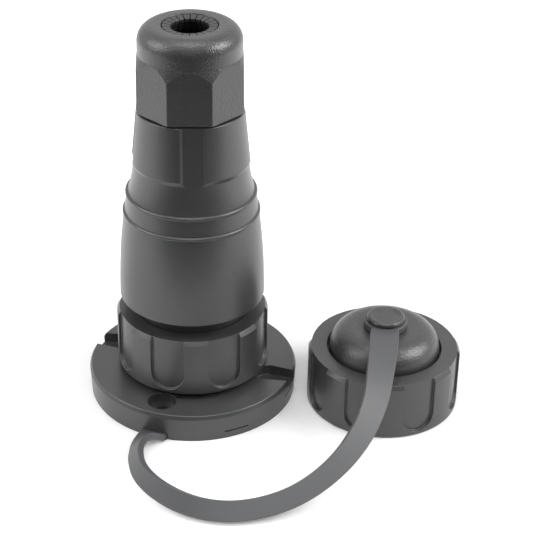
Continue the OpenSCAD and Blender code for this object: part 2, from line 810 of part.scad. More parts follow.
// The strap's way from the flange's rim to the cap's eyelet: place, tilt in degrees,
// and how much of the end's extra width it has there
strap_route = [
    [-16, -41.5, 2.8, 14, 0.95],
    [-17.7, -45, 4, 28, 0.75],
    [-19.5, -50, 5.3, 44, 0.4],
    [-20.6, -58, 6.1, 60, 0.15],
    [-18.8, -67.5, 6.2, 67, 0.05],
    [-13.5, -76, 5.8, 67, 0],
    [-5.5, -82.8, 5, 60, 0],
    [4, -87.2, 4.4, 53, 0],
    [15, -88.8, 4.3, 51, 0],
    [26.3, -87.5, 5.2, 50, 0],
    [37.5, -84, 7.3, 49, 0],
    [47.6, -78.3, 10.7, 46, 0.05],
    [56.4, -71, 15.3, 43, 0.2],
    [63.4, -62, 20.7, 38, 0.4],
    [68.3, -51.3, 26.5, 26, 0.6],
    [71.1, -39.1, 31.4, 10, 0.8],
    [73.3, -26, 34.3, 0, 1]
];
// Where the route above starts from the rim and where its eyelet is
route_rim = [-15, -39];
// How far the strap's flat root reaches past the rim, and where the free length starts
root_reach = 0.3;
strap_lead = 0.5;
route_cap = [75.4, -9.4, 34.5];

rim_dir = [sin(screw_turn), -cos(screw_turn)];
rim_exit = rim_dir * (flange_r + strap_lead);
cap_mid = [cap_x, -cap_front, eyelet_z + strap_t / 2];
route_last = strap_route[len(strap_route) - 1];
to_strap = let (d = [route_last.x - route_cap.x, route_last.y - route_cap.y]) d / norm(d);
root_shift = [rim_exit.x - route_rim.x, rim_exit.y - route_rim.y, 0];
cap_shift = cap_mid - route_cap;

function flat_station(xy, z, share) = [xy.x, xy.y, z, 0, share];

// Every station of the strap, with both ends buried a little in the parts that carry them
strap_stations = let (
        n = len(strap_route),
        rim_z = strap_t / 2,
        bury = 2,
        flat_lead = 1,
        cap_xy = [cap_mid.x, cap_mid.y],
        edge = eyelet_d / 2
    ) concat(
        [flat_station(rim_exit - bury * rim_dir, rim_z, 0.8), flat_station(rim_exit, rim_z, 1)],
        [for (i = [0:n - 1]) let (p = strap_route[i], f = i / (n - 1),
                s = root_shift * (1 - f) + cap_shift * f)
            [p[0] + s[0], p[1] + s[1], p[2] + s[2], p[3], p[4]]],
        [flat_station(cap_xy + to_strap * (edge + flat_lead), cap_mid.z, 1),
            flat_station(cap_xy + to_strap * (edge - bury), cap_mid.z, 0.8)]
    );

// Smooth curve through the stations
function curve(list, i, t) = let (
        last = len(list) - 1,
        a = list[max(i - 1, 0)],
        b = list[i],
        c = list[min(i + 1, last)],
        d = list[min(i + 2, last)]
    ) 0.5 * (2 * b + (c - a) * t + (2 * a - 5 * b + 4 * c - d) * t * t + (3 * b - a - 3 * c + d) * t * t * t);

function place(s) = [s[0], s[1], s[2]];

// Keeps the strap on the deck and its tilt inwards where the curve swings past a station
function settled(s) = [s[0], s[1], max(s[2], strap_t / 2), max(s[3], 0), s[4]];

// Points of one cross-section, with its corners taken off
function strap_section(w, t, c) = [
    [-w / 2, -t / 2 + c], [-w / 2 + c, -t / 2], [w / 2 - c, -t / 2], [w / 2, -t / 2 + c],
    [w / 2, t / 2 - c], [w / 2 - c, t / 2], [-w / 2 + c, t / 2], [-w / 2, t / 2 - c]
];

// A cross-section set square to the strap's way and turned by its tilt
function strap_ring(s, ahead, thick) = let (
        along = ahead / norm(ahead),
        side = let (v = cross([0, 0, 1], along)) v / norm(v),
        up = cross(along, side),
        across = cos(s[3]) * side + sin(s[3]) * up,
        out = cos(s[3]) * up - sin(s[3]) * side,
        w = strap_w + (strap_end_w - strap_w) * s[4]
    ) [for (p = strap_section(w, thick, 0.5)) place(s) + p.x * across + p.y * out];

// The free length of the strap, swept along its stations
module strap_sweep() {
    per_span = 4;
    spans = len(strap_stations) - 1;
    last = spans * per_span;
    way = [for (k = [0:last]) let (i = min(floor(k / per_span), spans - 1))
        settled(curve(strap_stations, i, k / per_span - i))];
    rings = [for (k = [0:last]) strap_ring(way[k],
        place(way[min(k + 1, last)]) - place(way[max(k - 1, 0)]),
        strap_t - (k == 0 || k == last ? 0.4 : 0))];
    sides = len(rings[0]);
    polyhedron(
        [for (r = rings) each r],
        concat(
            [[for (j = [0:sides - 1]) j]],
            [[for (j = [sides - 1:-1:0]) last * sides + j]],
            [for (k = [0:last - 1]) for (j = [0:sides - 1]) let (m = (j + 1) % sides)
                [k * sides + j, (k + 1) * sides + j, (k + 1) * sides + m, k * sides + m]]
        )
    );
}

module strap() {
    color(strap_grey) difference() {
        union() {
            strap_sweep();
            facing(screw_turn) translate([0, -screw_r, 0])
                linear_extrude(strap_t) slot_outline(strap_end_w, flange_r + root_reach - screw_r);
            translate([cap_x, -cap_front, eyelet_z]) cylinder(d = eyelet_d, h = strap_t);
        }
        facing(screw_turn) translate([0, -screw_r, -over])
            cylinder(d = screw_hole_d, h = strap_t + 2 * over);
        translate([cap_x, -cap_front, eyelet_z - over])
            cylinder(d = stud_d + 2 * run_room, h = strap_t + 2 * over);
    }
}

deck_flange();
deck_gasket();
socket_insert();
socket_contact(0);  // socket_contact_1
socket_contact(1);  // socket_contact_2
socket_contact(2);  // socket_contact_3
socket_contact(3);  // socket_contact_4
socket_terminal_screws();
socket_retaining_ring();
strap();
plug_sleeve();
sleeve_o_ring();
plug_face_seal();
pin_insert();
pin_contact(0);  // pin_contact_1
pin_contact(1);  // pin_contact_2
pin_contact(2);  // pin_contact_3
pin_contact(3);  // pin_contact_4
pin_terminal_screws();
pin_retaining_ring();
plug_body();
coupling_nut();
gland_claw();
gland_grommet();
gland_nut();
cap_dome();
cap_seal();
cap_ring();
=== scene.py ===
"""Watertight deck plug: its mouldings, threads, strap, finishes and a studio stage round the frame."""
import json
import math
from contextlib import contextmanager

import bpy
from bpy.props import FloatProperty, FloatVectorProperty, IntProperty, PointerProperty
from mathutils import Matrix, Vector


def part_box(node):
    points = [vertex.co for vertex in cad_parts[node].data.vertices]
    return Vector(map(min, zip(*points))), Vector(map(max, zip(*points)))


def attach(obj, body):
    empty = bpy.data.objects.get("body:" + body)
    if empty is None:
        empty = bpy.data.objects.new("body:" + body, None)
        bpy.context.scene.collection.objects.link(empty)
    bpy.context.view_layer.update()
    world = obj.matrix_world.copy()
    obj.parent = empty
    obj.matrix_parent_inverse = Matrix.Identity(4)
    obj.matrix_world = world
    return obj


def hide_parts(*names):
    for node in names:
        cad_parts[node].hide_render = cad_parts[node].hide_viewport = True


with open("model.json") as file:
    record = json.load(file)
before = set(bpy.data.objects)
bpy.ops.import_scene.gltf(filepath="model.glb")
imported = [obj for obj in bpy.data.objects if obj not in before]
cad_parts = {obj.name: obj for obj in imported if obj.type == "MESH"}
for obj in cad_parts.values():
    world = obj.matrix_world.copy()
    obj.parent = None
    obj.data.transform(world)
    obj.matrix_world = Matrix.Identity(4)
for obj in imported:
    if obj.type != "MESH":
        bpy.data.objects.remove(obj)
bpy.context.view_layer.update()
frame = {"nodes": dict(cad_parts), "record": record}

bl_info = {
    "name": "Watertight Deck Plug",
    "version": (1, 0, 0),
    "blender": (4, 5, 0),
    "location": "View3D > Sidebar > Deck Plug",
    "description": "Builds the deck plug's mouldings, threads, strap, finishes and studio stage",
    "category": "Object",
}

MM = 0.001
# Points closer than this are one point
MERGE = 1e-6
# A cutter reaches past the surface that it cuts by this much
OVER = 1.0 * MM
# Columns round a turned piece, and steps round a rounded edge
COLUMNS = 192
ARC_STEPS = 5
# Longest step round a large rounding
ARC_LENGTH = 0.5 * MM
# How far a softened edge turns towards the surface that it meets
FLARE = math.radians(72)
# Usual roundings of edges
TINY = 0.2 * MM
SMALL = 0.3 * MM
EASY = 0.5 * MM
# Columns round a screw hole and round the eyelet
HOLE_COLUMNS = 64
EYELET_COLUMNS = 96
# Columns round the widest pieces
WIDE_COLUMNS = 256
# Flats of the gland nut
GLAND_SIDES = 8


# Properties

def length(name, description, millimetres):
    """A length that is written in millimetres and kept in metres."""
    return FloatProperty(
        name=name, description=description, default=millimetres * MM,
        subtype="DISTANCE", unit="LENGTH", precision=5)


def angle(name, description, degrees):
    """An angle that is written in degrees and kept in radians."""
    return FloatProperty(
        name=name, description=description, default=math.radians(degrees),
        subtype="ANGLE", unit="ROTATION")


def colour(name, description, rgb):
    """A colour in linear light."""
    return FloatVectorProperty(
        name=name, description=description, default=rgb, size=3, min=0.0, max=1.0, subtype="COLOR")


def factor(name, description, value):
    """A share from 0 to 1."""
    return FloatProperty(
        name=name, description=description, default=value, min=0.0, max=1.0, subtype="FACTOR")


def power(name, description, watts):
    """A lamp's power."""
    return FloatProperty(name=name, description=description, default=watts, min=0.0, unit="POWER")


class DeckPlugRing(bpy.types.PropertyGroup):
    """Sizes of the two grip rings"""
    grip_count: IntProperty(name="Grips", description="Grip recesses round a ring", default=8, min=3)
    grip_width: length("Grip width", "Width of a grip recess", 13.3)
    grip_depth: length("Grip depth", "Depth of a grip recess", 1.2)
    grip_foot: length("Foot band", "Height of the band below the recesses", 1.8)
    chamfer: length("Land chamfer", "Width of the chamfer at the top of a land", 1.05)
    chamfer_h: length("Land chamfer height", "Height of that chamfer", 1.7)
    bore: length("Bore radius", "Radius of the ring's bore", 25.9)
    hole: length("Hole radius", "Radius of the hole in the ring's roof", 22.3)
    roof: length("Roof", "Thickness of the ring's roof", 3.0)
    foot_round: length("Foot rounding", "Rounding of the ring's lower edge", 1.0)
    soft: length("Recess rounding", "Rounding of the recess edges", 0.32)
    nut_turn: angle("Nut turn", "Turn of the coupling nut's recesses", 26)
    cap_turn: angle("Cap turn", "Turn of the cap ring's recesses", 23.5)


class DeckPlugBody(bpy.types.PropertyGroup):
    """Sizes of the plug body"""
    lower_lip: length("Lower lip height", "Height of the lower lip above the foot", 36.1)
    lip_pitch: length("Lip pitch", "Height from the lower lip to the upper lip", 7.8)
    barrel_top: length("Barrel top radius", "Radius of the barrel under the lower lip", 25.7)
    lower_lip_r: length("Lower lip radius", "Outer radius of the lower lip", 26.25)
    upper_lip_r: length("Upper lip radius", "Outer radius of the upper lip", 25.05)
    lip_round: length("Lip rounding", "Rounding of the lips", 0.9)
    flare_h: length("Flare height", "Height from the upper lip to the panels", 12.1)
    flare_round: length("Flare radius", "Radius of the hollow flare", 52.0)
    flare_inset: length("Flare inset", "How far the flare's foot lies inside the upper lip's rounding", 0.2)
    panel_foot: length("Panel foot radius", "Radius of the panels at their foot", 22.55)
    panel_top: length("Panel top radius", "Radius of the panels at their top", 20.5)
    panel_raise: length("Panel raise", "Height of the panels above the surface", 0.7)
    panel_slope: length("Panel slope", "Width of a panel's sloping edge", 1.7)
    panel_gap: length("Panel gap", "Width of the floor between two panels", 7.4)
    panel_turn: angle("Panel turn", "Turn of the gaps between the panels", 3)
    spigot: length("Spigot radius", "Radius of the threaded end under the gland nut", 16.6)
    gap: length("Gland gap", "Gap under the gland nut", 0.7)


class DeckPlugGland(bpy.types.PropertyGroup):
    """Sizes of the gland nut"""
    flat_h: length("Flat height", "Height of the flats at their corners", 15.7)
    slope_h: length("Slope height", "Height of the slope above the corners", 5.2)
    draft: length("Draft", "How much narrower the flats are at the top", 0.6)
    dome: length("Dome radius", "Radius of the round top", 19.3)
    dome_round: length("Dome rounding", "Rounding of the top edge", 6.0)
    mouth: length("Mouth radius", "Radius of the hole in the top", 10.4)
    mouth_edge: length("Mouth rounding", "Rounding of the hole's upper edge", 0.5)
    bore: length("Bore radius", "Radius of the bore over the spigot", 17.0)
    bore_h: length("Bore height", "Height of that bore", 16.5)
    claw_bore: length("Claw bore radius", "Radius of the bore round the claws", 15.0)
    bend_h: length("Bend height", "Height where the bore starts to close", 19.5)
    corner: length("Corner rounding", "Rounding of the corners between flats", 0.35)
    claws: IntProperty(name="Claws", description="Claws round the cable", default=22, min=6)
    claw_wall: length("Claw wall", "Wall of the claw ring", 2.4)
    claw_hole: length("Claw hole radius", "Radius of the hole between the claws", 6.95)
    claw_straight: length("Claw height", "Height of the claws' straight part above the claw ring's foot", 14.5)
    claw_slit: length("Slit width", "Width of a slit between two claws", 0.35)
    claw_slit_z: length("Slit foot", "Height of the slits' foot above the claw ring's foot", 9.0)


class DeckPlugFlange(bpy.types.PropertyGroup):
    """Sizes of the deck flange"""
    thickness: length("Thickness", "Thickness of the flange", 11.5)
    draft: length("Draft", "How much smaller the radius is at the deck", 0.5)
    edge: length("Rim chamfer", "Width of the upper rim's steep chamfer", 0.75)
    edge_h: length("Rim chamfer height", "Height of the upper rim's steep chamfer", 1.5)
    soft: length("Edge rounding", "Rounding of the holes and notches", 0.25)
    bore: length("Bore radius", "Radius of the bore in the flange", 19.0)
    neck: length("Neck radius", "Outer radius of the neck", 25.0)
    neck_bore: length("Neck bore radius", "Bore radius of the neck", 22.0)
    ledge: length("Ledge height", "Height of the ledge in the neck", 9.0)
    screw_circle: length("Screw circle radius", "Radius of the circle through the screws", 32.25)
    screw_turn: angle("Screw turn", "Turn of the screws from straight ahead", -21)
    screw_hole: length("Screw hole radius", "Radius of a screw hole", 2.75)
    head: length("Head recess radius", "Radius of a screw head's recess", 5.5)
    head_depth: length("Head recess depth", "Depth of a screw head's recess", 4.3)
    notch: length("Notch width", "Width of the notches", 10.2)
    notch_depth: length("Notch depth", "Depth of the notches", 4.3)
    notch_shift: length("Notch shift", "How far the notches lie behind the centre", 1.2)
    slit_len: length("Slit length", "Length of a slit in the side", 10.0)
    slit_h: length("Slit height", "Height of a slit", 0.6)
    slit_depth: length("Slit depth", "Depth of a slit", 3.0)
    slit_z: length("Slit place", "Height of the slits that are not under a notch", 3.2)
    slit_drop: length("Slit drop", "Depth of the other slits below a notch's floor", 1.4)
    slit_turn: angle("Slit turn", "Turn of the slits from the nearest screw", 46)


class DeckPlugCap(bpy.types.PropertyGroup):
    """Sizes of the cap's dome"""
    dome: length("Dome radius", "Radius of the dome", 21.5)
    dome_top: length("Dome top", "Height of the dome's top above the deck", 32.8)
    dome_round: length("Dome rounding", "Rounding of the dome's shoulder", 8.8)
    wall: length("Wall", "Wall of the dome", 2.5)
    rim_z: length("Rim height", "Height of the rim's underside", 17.6)
    rim_h: length("Rim thickness", "Thickness of the rim", 2.9)
    skirt: length("Skirt radius", "Radius of the skirt below the rim", 20.5)
    stud: length("Stud radius", "Radius of the stud through the eyelet", 4.0)
    button: length("Button radius", "Radius of the stud's button", 7.3)
    button_h: length("Button thickness", "Thickness of the button", 1.8)
    dish: length("Dish depth", "Depth of the dish in the button", 0.5)


class DeckPlugStrap(bpy.types.PropertyGroup):
    """Sizes of the strap"""
    width: length("Width", "Width along the middle", 8.0)
    end_width: length("End width", "Width at the two ends", 11.0)
    thickness: length("Thickness", "Thickness of the strap", 2.7)
    eyelet: length("Eyelet radius", "Radius of the eyelet on the cap's stud", 8.4)
    eyelet_hole: length("Eyelet hole", "Radius of the hole in the eyelet", 4.3)
    eyelet_z: length("Eyelet height", "Height of the eyelet's underside", 32.95)
    soft: length("Edge rounding", "Rounding of the strap's edges", 0.4)
    trim: length("Trim", "How much slimmer the free length is on each side", 0.1)


class DeckPlugThreads(bpy.types.PropertyGroup):
    """Sizes of the screw threads"""
    pitch: length("Neck pitch", "Pitch of the neck's thread", 3.0)
    ridge: length("Neck ridge", "Height of the neck's thread", 0.45)
    gland_pitch: length("Gland pitch", "Pitch of the gland's thread", 1.5)
    gland_ridge: length("Gland ridge", "Height of the gland's thread", 0.25)


class DeckPlugFinish(bpy.types.PropertyGroup):
    """Colours and textures of the materials"""
    moulding: colour("Moulding", "Charcoal moulding of the body and rings", (0.046, 0.0465, 0.048))
    sleeve: colour("Sleeve", "Dark grey moulding of the sleeve and claws", (0.028, 0.0285, 0.030))
    strap: colour("Strap", "Soft grey moulding of the strap", (0.074, 0.075, 0.078))
    seal: colour("Seal", "Black rubber of the seals", (0.016, 0.016, 0.017))
    insert: colour("Insert", "Black moulding of the contact inserts", (0.022, 0.023, 0.026))
    contact: colour("Contact", "Brass of the contacts", (0.72, 0.50, 0.20))
    screw: colour("Screw", "Plated steel of the terminal screws", (0.58, 0.59, 0.61))
    grain: length("Grain", "Size of the moulded grain", 0.55)
    coarse_grain: length("Coarse grain", "Size of the eroded grain on the gland nut and the cap dome", 0.7)
    gloss: factor("Roughness", "Roughness of the charcoal moulding", 0.32)


class DeckPlugStage(bpy.types.PropertyGroup):
    """Camera, lamps and floor"""
    lens: FloatProperty(name="Lens", description="Focal length in millimetres", default=110.06)
    camera_at: FloatVectorProperty(
        name="Camera place", description="Where the camera stands", size=3,
        default=(0.01025, -0.5537, 0.3780), subtype="TRANSLATION", unit="LENGTH")
    pitch: angle("Camera pitch", "How far the camera looks down", 31.67)
    shift: FloatVectorProperty(
        name="Camera shift", description="Shift of the picture, as the photograph is framed",
        size=2, default=(0.0954, 0.0648))
    front_lamp: power("Front lamp", "Power of the softbox over the floor in front", 0.075)
    top_lamp: power("Top lamp", "Power of the softbox overhead", 4.0)
    right_lamp: power("Right lamp", "Power of the softbox above on the right", 7.0)
    left_lamp: power("Left lamp", "Power of the softbox above on the left", 4.5)
    sky: factor("Sky", "Strength of the light from all round", 0.10)
    front: factor("Front", "How bright the camera's side of the studio is in reflections", 0.06)
    floor: colour("Floor", "Colour of the floor", (0.88, 0.88, 0.88))
    floor_front: length("Floor front", "How far the floor reaches in front of the plug", 170.0)
    # Painted light on the floor: the glow is low near the plug and rises further off, where it washes out the
    # lamps' shadows
    floor_glow: factor("Floor glow", "How much brighter the floor is near the plug where it is seen directly", 0.18)
    far_glow: factor("Far glow", "How much brighter the floor is further off where it is seen directly", 1.0)


class DeckPlugSettings(bpy.types.PropertyGroup):
    """All settings of the deck plug"""
    ring: PointerProperty(type=DeckPlugRing)
    body: PointerProperty(type=DeckPlugBody)
    gland: PointerProperty(type=DeckPlugGland)
    flange: PointerProperty(type=DeckPlugFlange)
    cap: PointerProperty(type=DeckPlugCap)
    strap: PointerProperty(type=DeckPlugStrap)
    threads: PointerProperty(type=DeckPlugThreads)
    finish: PointerProperty(type=DeckPlugFinish)
    stage: PointerProperty(type=DeckPlugStage)


# Outlines

def rounded(corners):
    """Outline through (radius, height, rounding) corners, each rounded corner drawn as an arc."""
    outline = []
    count = len(corners)
    for i, (radius, height, rounding) in enumerate(corners):
        here = Vector((radius, height))
        if rounding <= 0:
            outline.append((radius, height))
            continue
        before = (Vector(corners[i - 1][:2]) - here).normalized()
        after = (Vector(corners[(i + 1) % count][:2]) - here).normalized()
        half = before.angle(after) / 2
        centre = here + (before + after).normalized() * rounding / math.sin(half)
        start = here + before * rounding / math.tan(half) - centre
        sweep = start.angle_signed(here + after * rounding / math.tan(half) - centre)
        steps = max(ARC_STEPS, math.ceil(rounding * abs(sweep) / ARC_LENGTH))
        for step in range(steps + 1):
            spoke = start.copy()
            spoke.rotate(Matrix.Rotation(-sweep * step / steps, 2))
            outline.append(tuple(centre + spoke))
    return outline


def divided(outline, longest):
    """The same outline with points added so that no straight stretch is longer than given."""
    points = []
    for here, ahead in zip(outline, outline[1:] + outline[:1]):
        span = math.dist(here, ahead)
        pieces = max(1, math.ceil(span / longest - 1e-9))
        for k in range(pieces):
            share = k / pieces
            points.append(tuple(a + (b - a) * share for a, b in zip(here, ahead)))
    return points


def arc(centre, radius, first, last, steps=ARC_STEPS):
    """Points on an arc, with its angles in degrees from straight outwards."""
    angles = [math.radians(first + (last - first) * k / steps) for k in range(steps + 1)]
    return [(centre[0] + radius * math.cos(a), centre[1] + radius * math.sin(a)) for a in angles]


def hollow_arc(start, end, radius, steps=10):
    """Points on an arc from start up to end that hollows the outside of a half section."""
    chord = end - start
    half = chord.length / 2
    outwards = Vector((chord.y, -chord.x)).normalized()
    centre = (start + end) / 2 + outwards * math.sqrt(radius * radius - half * half)
    points = []
    for k in range(steps + 1):
        height = start.y + chord.y * k / steps
        points.append((centre.x - math.sqrt(radius * radius - (height - centre.y) ** 2), height))
    return points


def soft_wall(floor, surface, soft):
    """Layers of a pocket as (spread, level): a hollow corner at its floor and a rounded mouth."""
    layers = []
    for step in range(ARC_STEPS + 1):
        a = math.pi / 2 * step / ARC_STEPS
        layers.append((soft * (math.sin(a) - 1), floor + soft * (1 - math.cos(a))))
    for step in range(ARC_STEPS + 1):
        a = FLARE * step / ARC_STEPS
        layers.append((soft * (1 - math.cos(a)), surface - soft * (1 - math.sin(a))))
    spread, level = layers[-1]
    rise = surface + OVER / 2 - level
    layers.append((spread + rise * math.tan(FLARE), level + rise))
    return layers


# Modelling steps

def clear_selection():
    """Leaves edit mode and deselects everything."""
    if bpy.context.object is not None and bpy.context.object.mode != "OBJECT":
        bpy.ops.object.mode_set(mode="OBJECT")
    bpy.ops.object.select_all(action="DESELECT")


def pick(piece):
    """Selects one piece alone and makes it the active one."""
    clear_selection()
    piece.select_set(True)
    bpy.context.view_layer.objects.active = piece


@contextmanager
def editing():
    """Edit mode on the active piece, with all of it selected."""
    bpy.ops.object.mode_set(mode="EDIT")
    bpy.ops.mesh.select_all(action="SELECT")
    yield
    bpy.ops.object.mode_set(mode="OBJECT")


def named(piece, name):
    """Names a piece and its mesh alike."""
    piece.name = name
    piece.data.name = name
    return piece


def start_circle(name, count, fill="NOTHING"):
    """A ring of points to shape further."""
    clear_selection()
    bpy.ops.mesh.primitive_circle_add(vertices=count, radius=1.0, fill_type=fill)
    return named(bpy.context.object, name)


def face_outwards(piece):
    """Merges doubled points and turns all faces outwards."""
    pick(piece)
    with editing():
        bpy.ops.mesh.remove_doubles(threshold=MERGE)
        bpy.ops.mesh.delete_loose()
        bpy.ops.mesh.select_all(action="SELECT")
        bpy.ops.mesh.normals_make_consistent(inside=False)
    return piece


def turned(name, section, axis=(0.0, 0.0), columns=COLUMNS):
    """Spins a closed half section, a list of (radius, height), round an upright axis."""
    piece = start_circle(name, len(section))
    for vertex, (radius, height) in zip(piece.data.vertices, section):
        vertex.co = (axis[0] + radius, axis[1], height)
    with editing():
        bpy.ops.mesh.spin(steps=columns, angle=math.tau, center=(axis[0], axis[1], 0.0), axis=(0.0, 0.0, 1.0))
    return face_outwards(piece)


def drum(name, radius, low, high, axis, columns):
    """A plain round cutter on an upright axis."""
    return turned(name, [(0.0, low), (radius, low), (radius, high), (0.0, high)], axis, columns)


def extruded(piece, layers):
    """Extrudes a flat start upwards, one unit for each further layer."""
    with editing():
        for _ in range(layers - 1):
            bpy.ops.mesh.extrude_region_move(TRANSFORM_OT_translate={"value": (0.0, 0.0, 1.0)})
    return piece


def layered(name, count, layers, place):
    """Extrudes a ring of points through its layers and sets each one by place(point, layer)."""
    piece = extruded(start_circle(name, count, "NGON"), layers)
    for vertex in piece.data.vertices:
        turn = math.atan2(vertex.co.y, vertex.co.x) / math.tau
        vertex.co = place(round(turn * count) % count, round(vertex.co.z))
    return face_outwards(piece)


def copies_round(piece, count, turn, axis=(0.0, 0.0)):
    """Copies a piece round an upright axis, from a first turn, and joins the copies."""
    centre = Matrix.Translation((axis[0], axis[1], 0.0))
    copies = []
    for k in range(count):
        copy = piece.copy()
        copy.data = piece.data.copy()
        copy.data.transform(centre @ Matrix.Rotation(turn + math.tau * k / count, 4, "Z"))
        bpy.context.scene.collection.objects.link(copy)
        copies.append(copy)
    bpy.data.objects.remove(piece)
    clear_selection()
    for copy in copies:
        copy.select_set(True)
    bpy.context.view_layer.objects.active = copies[0]
    if count > 1:
        bpy.ops.object.join()
    return copies[0]


def apply_modifier(piece, kind, **values):
    """Adds a modifier, sets its values and applies it."""
    pick(piece)
    modifier = piece.modifiers.new(kind.title(), kind)
    for key, value in values.items():
        setattr(modifier, key, value)
    bpy.ops.object.modifier_apply(modifier=modifier.name)


def combine(piece, other, operation):
    """Cuts, joins or trims a piece with another, which is then removed."""
    before = len(piece.data.polygons)
    apply_modifier(piece, "BOOLEAN", object=other, operation=operation, solver="EXACT")
    bpy.data.objects.remove(other)
    if len(piece.data.polygons) == before:
        raise RuntimeError(f"{piece.name}: the {operation.lower()} changed nothing")


def dress(piece, slot, body, *nodes, crease=math.radians(32), finish=None):
    """Shades a finished piece, gives it its material and sets it on its body."""
    face_outwards(piece)
    bpy.ops.object.shade_smooth_by_angle(angle=crease)
    apply_modifier(piece, "WEIGHTED_NORMAL", keep_sharp=True)
    piece.data.materials.clear()
    piece.data.materials.append(finish_for(finish or slot))
    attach(piece, body)
    if nodes:
        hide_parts(*nodes)


def middle(node):
    """Place of a node's upright axis."""
    low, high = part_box(node)
    return ((low.x + high.x) / 2, (low.y + high.y) / 2)


# Grip rings

def grip_cutter(ring, radius, foot, top):
    """The shape of one grip recess, straight ahead: straight sides, a round foot, a curved floor."""
    layers = soft_wall(radius - ring.grip_depth, radius, ring.soft)
    clear_selection()
    bpy.ops.mesh.primitive_grid_add(x_subdivisions=28, y_subdivisions=6, size=2.0)
    cutter = extruded(named(bpy.context.object, "grip_cutter"), len(layers))
    centre = foot + ring.grip_foot + ring.grip_width / 2
    for vertex in cutter.data.vertices:
        spread, level = layers[round(vertex.co.z)]
        half = ring.grip_width / 2 + spread
        across = half * math.sin(vertex.co.x * math.pi / 2)
        lowest = centre - math.sqrt(max(half * half - across * across, 0.0))
        rise = (vertex.co.y + 1) / 2
        vertex.co = (across, -math.sqrt(level * level - across * across), lowest + (top - lowest) * rise)
    return face_outwards(cutter)


def grip_ring(name, node, body, ring, turn):
    """One moulded ring with its grip recesses."""
    low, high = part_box(node)
    axis = middle(node)
    radius = (high.x - low.x) / 2
    roof = high.z - ring.roof
    soft = ring.soft
    section = rounded([
        (ring.bore, low.z, soft), (radius, low.z, ring.foot_round), (radius, high.z - ring.chamfer_h, soft),
        (radius - ring.chamfer, high.z, soft), (ring.hole, high.z, soft),
        (ring.hole, roof, soft), (ring.bore, roof, soft)])
    piece = turned(name, divided(section, longest=1.5 * MM), axis)
    cutter = grip_cutter(ring, radius, low.z, high.z + OVER)
    combine(piece, copies_round(cutter, ring.grip_count, turn, axis), "DIFFERENCE")
    dress(piece, "moulding", body, node)


class DECKPLUG_OT_rings(bpy.types.Operator):
    """Coupling nut and cap ring, with grip recesses and rounded edges"""
    bl_idname = "deck_plug.rings"
    bl_label = "Grip rings"

    def execute(self, context):
        ring = context.scene.deck_plug.ring
        grip_ring("nut_moulding", "coupling_nut", "nut", ring, ring.nut_turn)
        grip_ring("cap_ring_moulding", "cap_ring", "cap_grip", ring, ring.cap_turn)
        return {"FINISHED"}


# Plug body

def body_section(body):
    """Half section of the plug body, from its foot up the outside and down the hollow."""
    low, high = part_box("plug_body")
    foot_r = (high.x - low.x) / 2
    lower = low.z + body.lower_lip
    upper = lower + body.lip_pitch
    panel_z = upper + body.flare_h
    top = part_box("gland_nut")[0].z - body.gap
    lip = body.lip_round
    base = body.panel_foot - body.panel_raise
    # The lower bead covers the barrel's last stretch
    barrel_end = body.lower_lip - 0.85 * lip
    steps = 18
    sleeve_seat, sleeve_seat_z = 22.05 * MM, low.z + 18.1 * MM
    grommet_seat, grommet_floor = 14.9 * MM, top + 5 * MM
    cable_way, cable_way_foot = 10.7 * MM, top - 4 * MM
    reach = 2 * MM
    barrel = []
    for k in range(1, steps + 1):
        rise = barrel_end * k / steps
        bulge = (rise / body.lower_lip) ** 2
        barrel.append((foot_r - (foot_r - body.barrel_top) * bulge, low.z + rise))
    flare_foot = Vector((body.upper_lip_r - lip - body.flare_inset, upper + lip))
    flare = hollow_arc(flare_foot, Vector((base, panel_z)), body.flare_round)[1:-1]
    foot = rounded([
        (sleeve_seat, low.z, SMALL), (foot_r, low.z, 0.7 * MM), (foot_r, low.z + reach, 0)])[:-1]
    panel = rounded([
        (base, panel_z - reach, 0), (base, panel_z, 0.4 * MM),
        (body.panel_foot, panel_z + body.panel_slope, EASY), (body.panel_top, top, EASY),
        (body.spigot, top, TINY), (body.spigot, high.z, 0.6 * MM), (grommet_seat, high.z, SMALL),
        (grommet_seat, grommet_floor, 0), (cable_way, grommet_floor, 0), (cable_way, cable_way_foot, 0)])[1:]
    chamber_top, chamber_middle, chamber_foot = 17.8 * MM, 20 * MM, 21.7 * MM
    hollow = [
        (chamber_top, panel_z), (chamber_middle, lower),
        (chamber_foot, sleeve_seat_z), (sleeve_seat, sleeve_seat_z)]
    lower_bead = arc((body.lower_lip_r - lip, lower), lip, first=-62, last=84, steps=8)
    upper_bead = arc((body.upper_lip_r - lip, upper), lip, first=-54, last=98, steps=10)
    return foot + barrel + lower_bead + upper_bead + flare + panel + hollow


def panel_cutter(body):
    """The leaning cut that leaves a flat floor between two panels, straight ahead."""
    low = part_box("plug_body")[0]
    panel_z = low.z + body.lower_lip + body.lip_pitch + body.flare_h
    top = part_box("gland_nut")[0].z - body.gap
    sink = 0.12 * MM
    floor_r = body.panel_foot - body.panel_raise - sink
    lean = (body.panel_foot - body.panel_top) / (top - panel_z - body.panel_slope)
    reach = 3 * MM
    half = body.panel_gap / 2
    wide = half + body.panel_slope / body.panel_raise * reach
    outline = rounded([(-half, 0, EASY), (half, 0, EASY), (wide, reach, 0), (-wide, reach, 0)])

    def place(point, layer):
        across, out = outline[point]
        height = (-OVER, top - panel_z + OVER)[layer]
        return (across, -(floor_r + out - lean * height), panel_z + height)

    return layered("panel_cutter", len(outline), 2, place)


class DECKPLUG_OT_body(bpy.types.Operator):
    """Plug body with its two lips, hollow flare and four grip panels"""
    bl_idname = "deck_plug.body"
    bl_label = "Plug body"

    def execute(self, context):
        body = context.scene.deck_plug.body
        piece = turned("body_moulding", divided(body_section(body), longest=2.5 * MM), columns=WIDE_COLUMNS)
        combine(piece, copies_round(panel_cutter(body), count=4, turn=body.panel_turn), "DIFFERENCE")
        dress(piece, "moulding", "plug", "plug_body", crease=math.radians(26))
        return {"FINISHED"}


